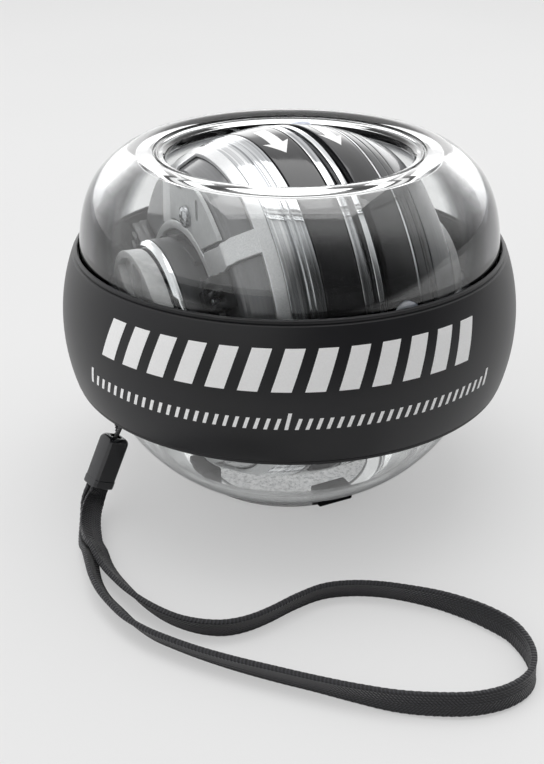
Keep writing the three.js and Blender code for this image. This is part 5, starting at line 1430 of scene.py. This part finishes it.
def strip_section(radius):
    low, high, edge, far = STRIP_LOW, STRIP_HIGH, STRIP_EDGE, radius + STRIP_THICKNESS
    return ((radius, low + edge), (radius + edge, low), (far - edge, low), (far, low + edge),
            (far, high - edge), (far - edge, high), (radius + edge, high), (radius, high - edge))


rings = []
for share in np.arange(SPRING_STEPS + 1) / SPRING_STEPS:
    angle, radius = SPRING_TURNS * 2 * math.pi * share, SPRING_FIRST + (SPRING_LAST - SPRING_FIRST) * share
    rings.append([(r * math.cos(angle), r * math.sin(angle), place) for r, place in strip_section(radius)])
dress("mainspring_spiral", clean_mesh(*skin_of(rings)), "axle", blued_steel, ["mainspring"])
print("mainspring's turns:", SPRING_TURNS)

# %% [markdown]
# ## Pieces that stay as the CAD part has them
# The flywheel's core, its bushes, the arbor, the magnets and the light board are deep inside.
# Their solids keep their shape here and only get a finish: die-cast zinc alloy, sintered bronze with pores
# drawn 0.25 mm apart, nickel plate with a warm tone, and a green board with its tracks under a solder mask.

# %% Finishes for the inner solids
cast_zinc = new_material("zinc_alloy_die_cast", Metallic=1.0)
grain = give_grain(cast_zinc, 1.2, (0.3, "#6b6e72"), (0.7, "#8c8f93"), detail=5.0)
rough = add_node(cast_zinc, "MapRange", {"Value": grain, "To Min": 0.35, "To Max": 0.6})
wire(cast_zinc, Roughness=rough.outputs["Result"])
nickel_plate = new_material("nickel_plate", Metallic=1.0, Roughness=0.22)
give_grain(nickel_plate, 2, (0.3, "#a9a69e"), (0.7, "#c5c2ba"), detail=2.0)
sintered_bronze = new_material("bronze_sintered", Metallic=1.0, Roughness=0.45)
pores = add_node(sintered_bronze, "TexVoronoi", {"Scale": 4 / MM})
wire(sintered_bronze, Base_Color=colour_steps(sintered_bronze, pores.outputs["Distance"], (0.1, "#5e4a2b"),
                                              (0.4, "#a5834f")))
board_laminate = new_material("glass_epoxy_green", Roughness=0.4, IOR=1.55)
tracks = add_node(board_laminate, "TexVoronoi", {"Scale": 0.7 / MM}, distance="MANHATTAN")
wire(board_laminate, Base_Color=colour_steps(board_laminate, tracks.outputs["Distance"], (0.35, "#1d4a33"),
                                             (0.5, "#123324")))
kept = {"flywheel_core": cast_zinc, "left_bush": sintered_bronze, "right_bush": sintered_bronze,
        "spring_arbor": ground_steel, "generator_magnet_1": nickel_plate, "generator_magnet_2": nickel_plate,
        "light_board": board_laminate}
for name, material in kept.items():
    node_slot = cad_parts[name].material_slots[0]
    node_slot.link = "OBJECT"
    node_slot.material = material
print("solids kept:", len(kept))

# %% [markdown]
# ## Studio
# The ball stands on a wide pale floor under one soft panel. Most of the light comes from the world, which is
# built for what clear plastic and chrome mirror. It is bright above and behind, so that the crest and the
# chrome bands are white, and dark in front, so that the rotor's panels stay dark. It is bright again at the
# left, where the axle points: that lights the band and the arms and isn't mirrored by the rotor's skin.
# Camera rays see a plain pale backdrop instead.

# %% The floor's colour
FLOOR_DARK_FROM, FLOOR_DARK_TO, FLOOR_PLAIN_FROM = -0.13, -0.18, -0.1
UNDER_BALL, BESIDE_BALL = 0.025, 0.06
floor_paint = new_material("floor_pale", Roughness=0.9)
cloud = add_node(floor_paint, "TexNoise", {"Scale": 3.0, "Detail": 2.0})
tint = colour_steps(floor_paint, cloud.outputs["Fac"], (0.3, "#e4e4e4"), (0.7, "#e8e8e8"))
places = add_node(floor_paint, "TexCoord")
nearer = add_node(floor_paint, "SeparateXYZ", {"Vector": places.outputs["Object"]})
front = add_node(floor_paint, "MapRange", {"Value": nearer.outputs["Y"], "From Min": FLOOR_DARK_FROM,
                                           "From Max": FLOOR_DARK_TO})
dark = add_node(floor_paint, "Mix", {"Factor": front.outputs["Result"], "A": tint, "B": linear("#343434")},
                data_type="RGBA")
wire(floor_paint, Base_Color=dark.outputs["Result"])
print("floor's colour is set")

# %% [markdown]
# The floor has to look plain and pale to the camera and still hold the ball's shadow, so half of what the
# camera sees is its lit paint and half is the same colour as a plain light of strength 1. Nearer than the
# picture's lower edge the paint is dark, for the dome mirrors that part, and there camera rays see only the
# plain colour. Seen through the clear bowl, the floor under the ball is all plain light: painted light that
# hides the ball's own shadow there.

# %% Floor
rays = add_node(floor_paint, "LightPath")
radius = add_node(floor_paint, "VectorMath", {0: places.outputs["Object"]}, operation="LENGTH")
# Painted light: seen through the bowl, the floor under the ball glows as a plain light, hiding the ball's
# shadow.
under = add_node(floor_paint, "MapRange", {"Value": radius.outputs["Value"], "From Min": UNDER_BALL,
                                           "From Max": BESIDE_BALL, "To Min": 1.0, "To Max": 0.0})
under = add_node(floor_paint, "Math", {0: under.outputs[0], 1: rays.outputs["Is Transmission Ray"]},
                 operation="MULTIPLY")
plainly = add_node(floor_paint, "MapRange", {"Value": nearer.outputs["Y"], "From Min": FLOOR_PLAIN_FROM,
                                             "From Max": FLOOR_DARK_FROM, "To Min": 0.5, "To Max": 1.0})
share = add_node(floor_paint, "Math", {0: rays.outputs["Is Camera Ray"], 1: plainly.outputs["Result"],
                                       2: under.outputs[0]}, operation="MULTIPLY_ADD")
plain = add_node(floor_paint, "Emission", {"Color": tint})
nodes = floor_paint.node_tree.nodes
mix = add_node(floor_paint, "MixShader", {"Fac": share.outputs[0], 1: nodes["Principled BSDF"].outputs[0],
                                          2: plain.outputs[0]})
floor_paint.node_tree.links.new(mix.outputs[0], nodes["Material Output"].inputs["Surface"])
FLOOR_SIZE = 3.0
floor_mesh = bpy.data.meshes.new("floor")
corners = [(sx * FLOOR_SIZE, sy * FLOOR_SIZE, 0) for sx, sy in ((-1, -1), (1, -1), (1, 1), (-1, 1))]
floor_mesh.from_pydata(corners, [], [(0, 1, 2, 3)])
floor_mesh.materials.append(floor_paint)
floor = bpy.data.objects.new("floor", floor_mesh)
bpy.context.scene.collection.objects.link(floor)
print("floor's side, m:", 2 * FLOOR_SIZE)

# %% [markdown]
# The world's brightness grows with how high and how far back a direction points, and again towards the
# axle's left end. A low glow far behind whitens the dome's crest.

# %% World
HIGH_WEIGHT, BACK_WEIGHT, LEFT_WEIGHT, BASE_STRENGTH, GLOW_STRENGTH = 0.75, 0.65, 1.6, 1.05, 1.4
world = bpy.data.worlds.new("studio")
bpy.context.scene.world = world
world.use_nodes = True
world.node_tree.nodes.clear()
output = add_node(world, "OutputWorld")
coordinates = add_node(world, "TexCoord")
parts = add_node(world, "SeparateXYZ", {"Vector": coordinates.outputs["Generated"]})
high = add_node(world, "Math", {0: parts.outputs["Z"], 1: HIGH_WEIGHT}, operation="MULTIPLY")
back = add_node(world, "Math", {0: parts.outputs["Y"], 1: BACK_WEIGHT, 2: high.outputs[0]},
                operation="MULTIPLY_ADD")
left = add_node(world, "VectorMath", {0: coordinates.outputs["Generated"], 1: -axle_direction},
                operation="DOT_PRODUCT")
left = add_node(world, "MapRange", {"Value": left.outputs["Value"], "From Min": 0.3, "From Max": 0.6,
                                    "To Max": LEFT_WEIGHT})
bright = add_node(world, "Math", {0: back.outputs[0], 1: left.outputs["Result"]}, operation="ADD")
place = add_node(world, "MapRange", {"Value": bright.outputs[0], "From Min": -0.7, "From Max": 1.0})
air = colour_steps(world, place.outputs["Result"], (0.0, "#343434"), (0.42, "#444444"), (0.5, "#6c6c6c"),
                   (0.64, "#d8d8d8"), (0.85, "#f6f6f6"))
behind = add_node(world, "MapRange", {"Value": parts.outputs["Y"], "From Min": 0.35, "From Max": 0.75})
low = add_node(world, "MapRange", {"Value": parts.outputs["Z"], "From Min": 0.42, "From Max": 0.28})
glow = add_node(world, "Math", {0: behind.outputs["Result"], 1: low.outputs["Result"]}, operation="MULTIPLY")
glow = add_node(world, "Math", {0: glow.outputs[0], 1: GLOW_STRENGTH, 2: BASE_STRENGTH},
                operation="MULTIPLY_ADD")
studio_air = add_node(world, "Background", {"Color": air, "Strength": glow.outputs[0]})
backdrop = add_node(world, "Background", {"Color": linear("#ececec")})
rays = add_node(world, "LightPath")
mix = add_node(world, "MixShader", {"Fac": rays.outputs["Is Camera Ray"], 1: studio_air.outputs[0],
                                    2: backdrop.outputs[0]})
world.node_tree.links.new(mix.outputs["Shader"], output.inputs["Surface"])
bpy.context.scene.view_settings.view_transform = "Standard"
print("world is ready")

# %% The soft panel
PANEL_PLACE, PANEL_TARGET = (0.0, 0.12, 0.6), (0, 0, 0.03)
PANEL_WIDTH, PANEL_DEPTH, PANEL_POWER = 0.5, 0.4, 1.2
panel_light = bpy.data.lights.new("panel_above", "AREA")
panel_light.shape, panel_light.energy = "RECTANGLE", PANEL_POWER
panel_light.size, panel_light.size_y = PANEL_WIDTH, PANEL_DEPTH
panel = bpy.data.objects.new("panel_above", panel_light)
panel.location = PANEL_PLACE
panel.rotation_euler = (Vector(PANEL_TARGET) - Vector(PANEL_PLACE)).to_track_quat("-Z", "Y").to_euler()
panel.visible_camera = False
bpy.context.scene.collection.objects.link(panel)
print("soft panels: 1")
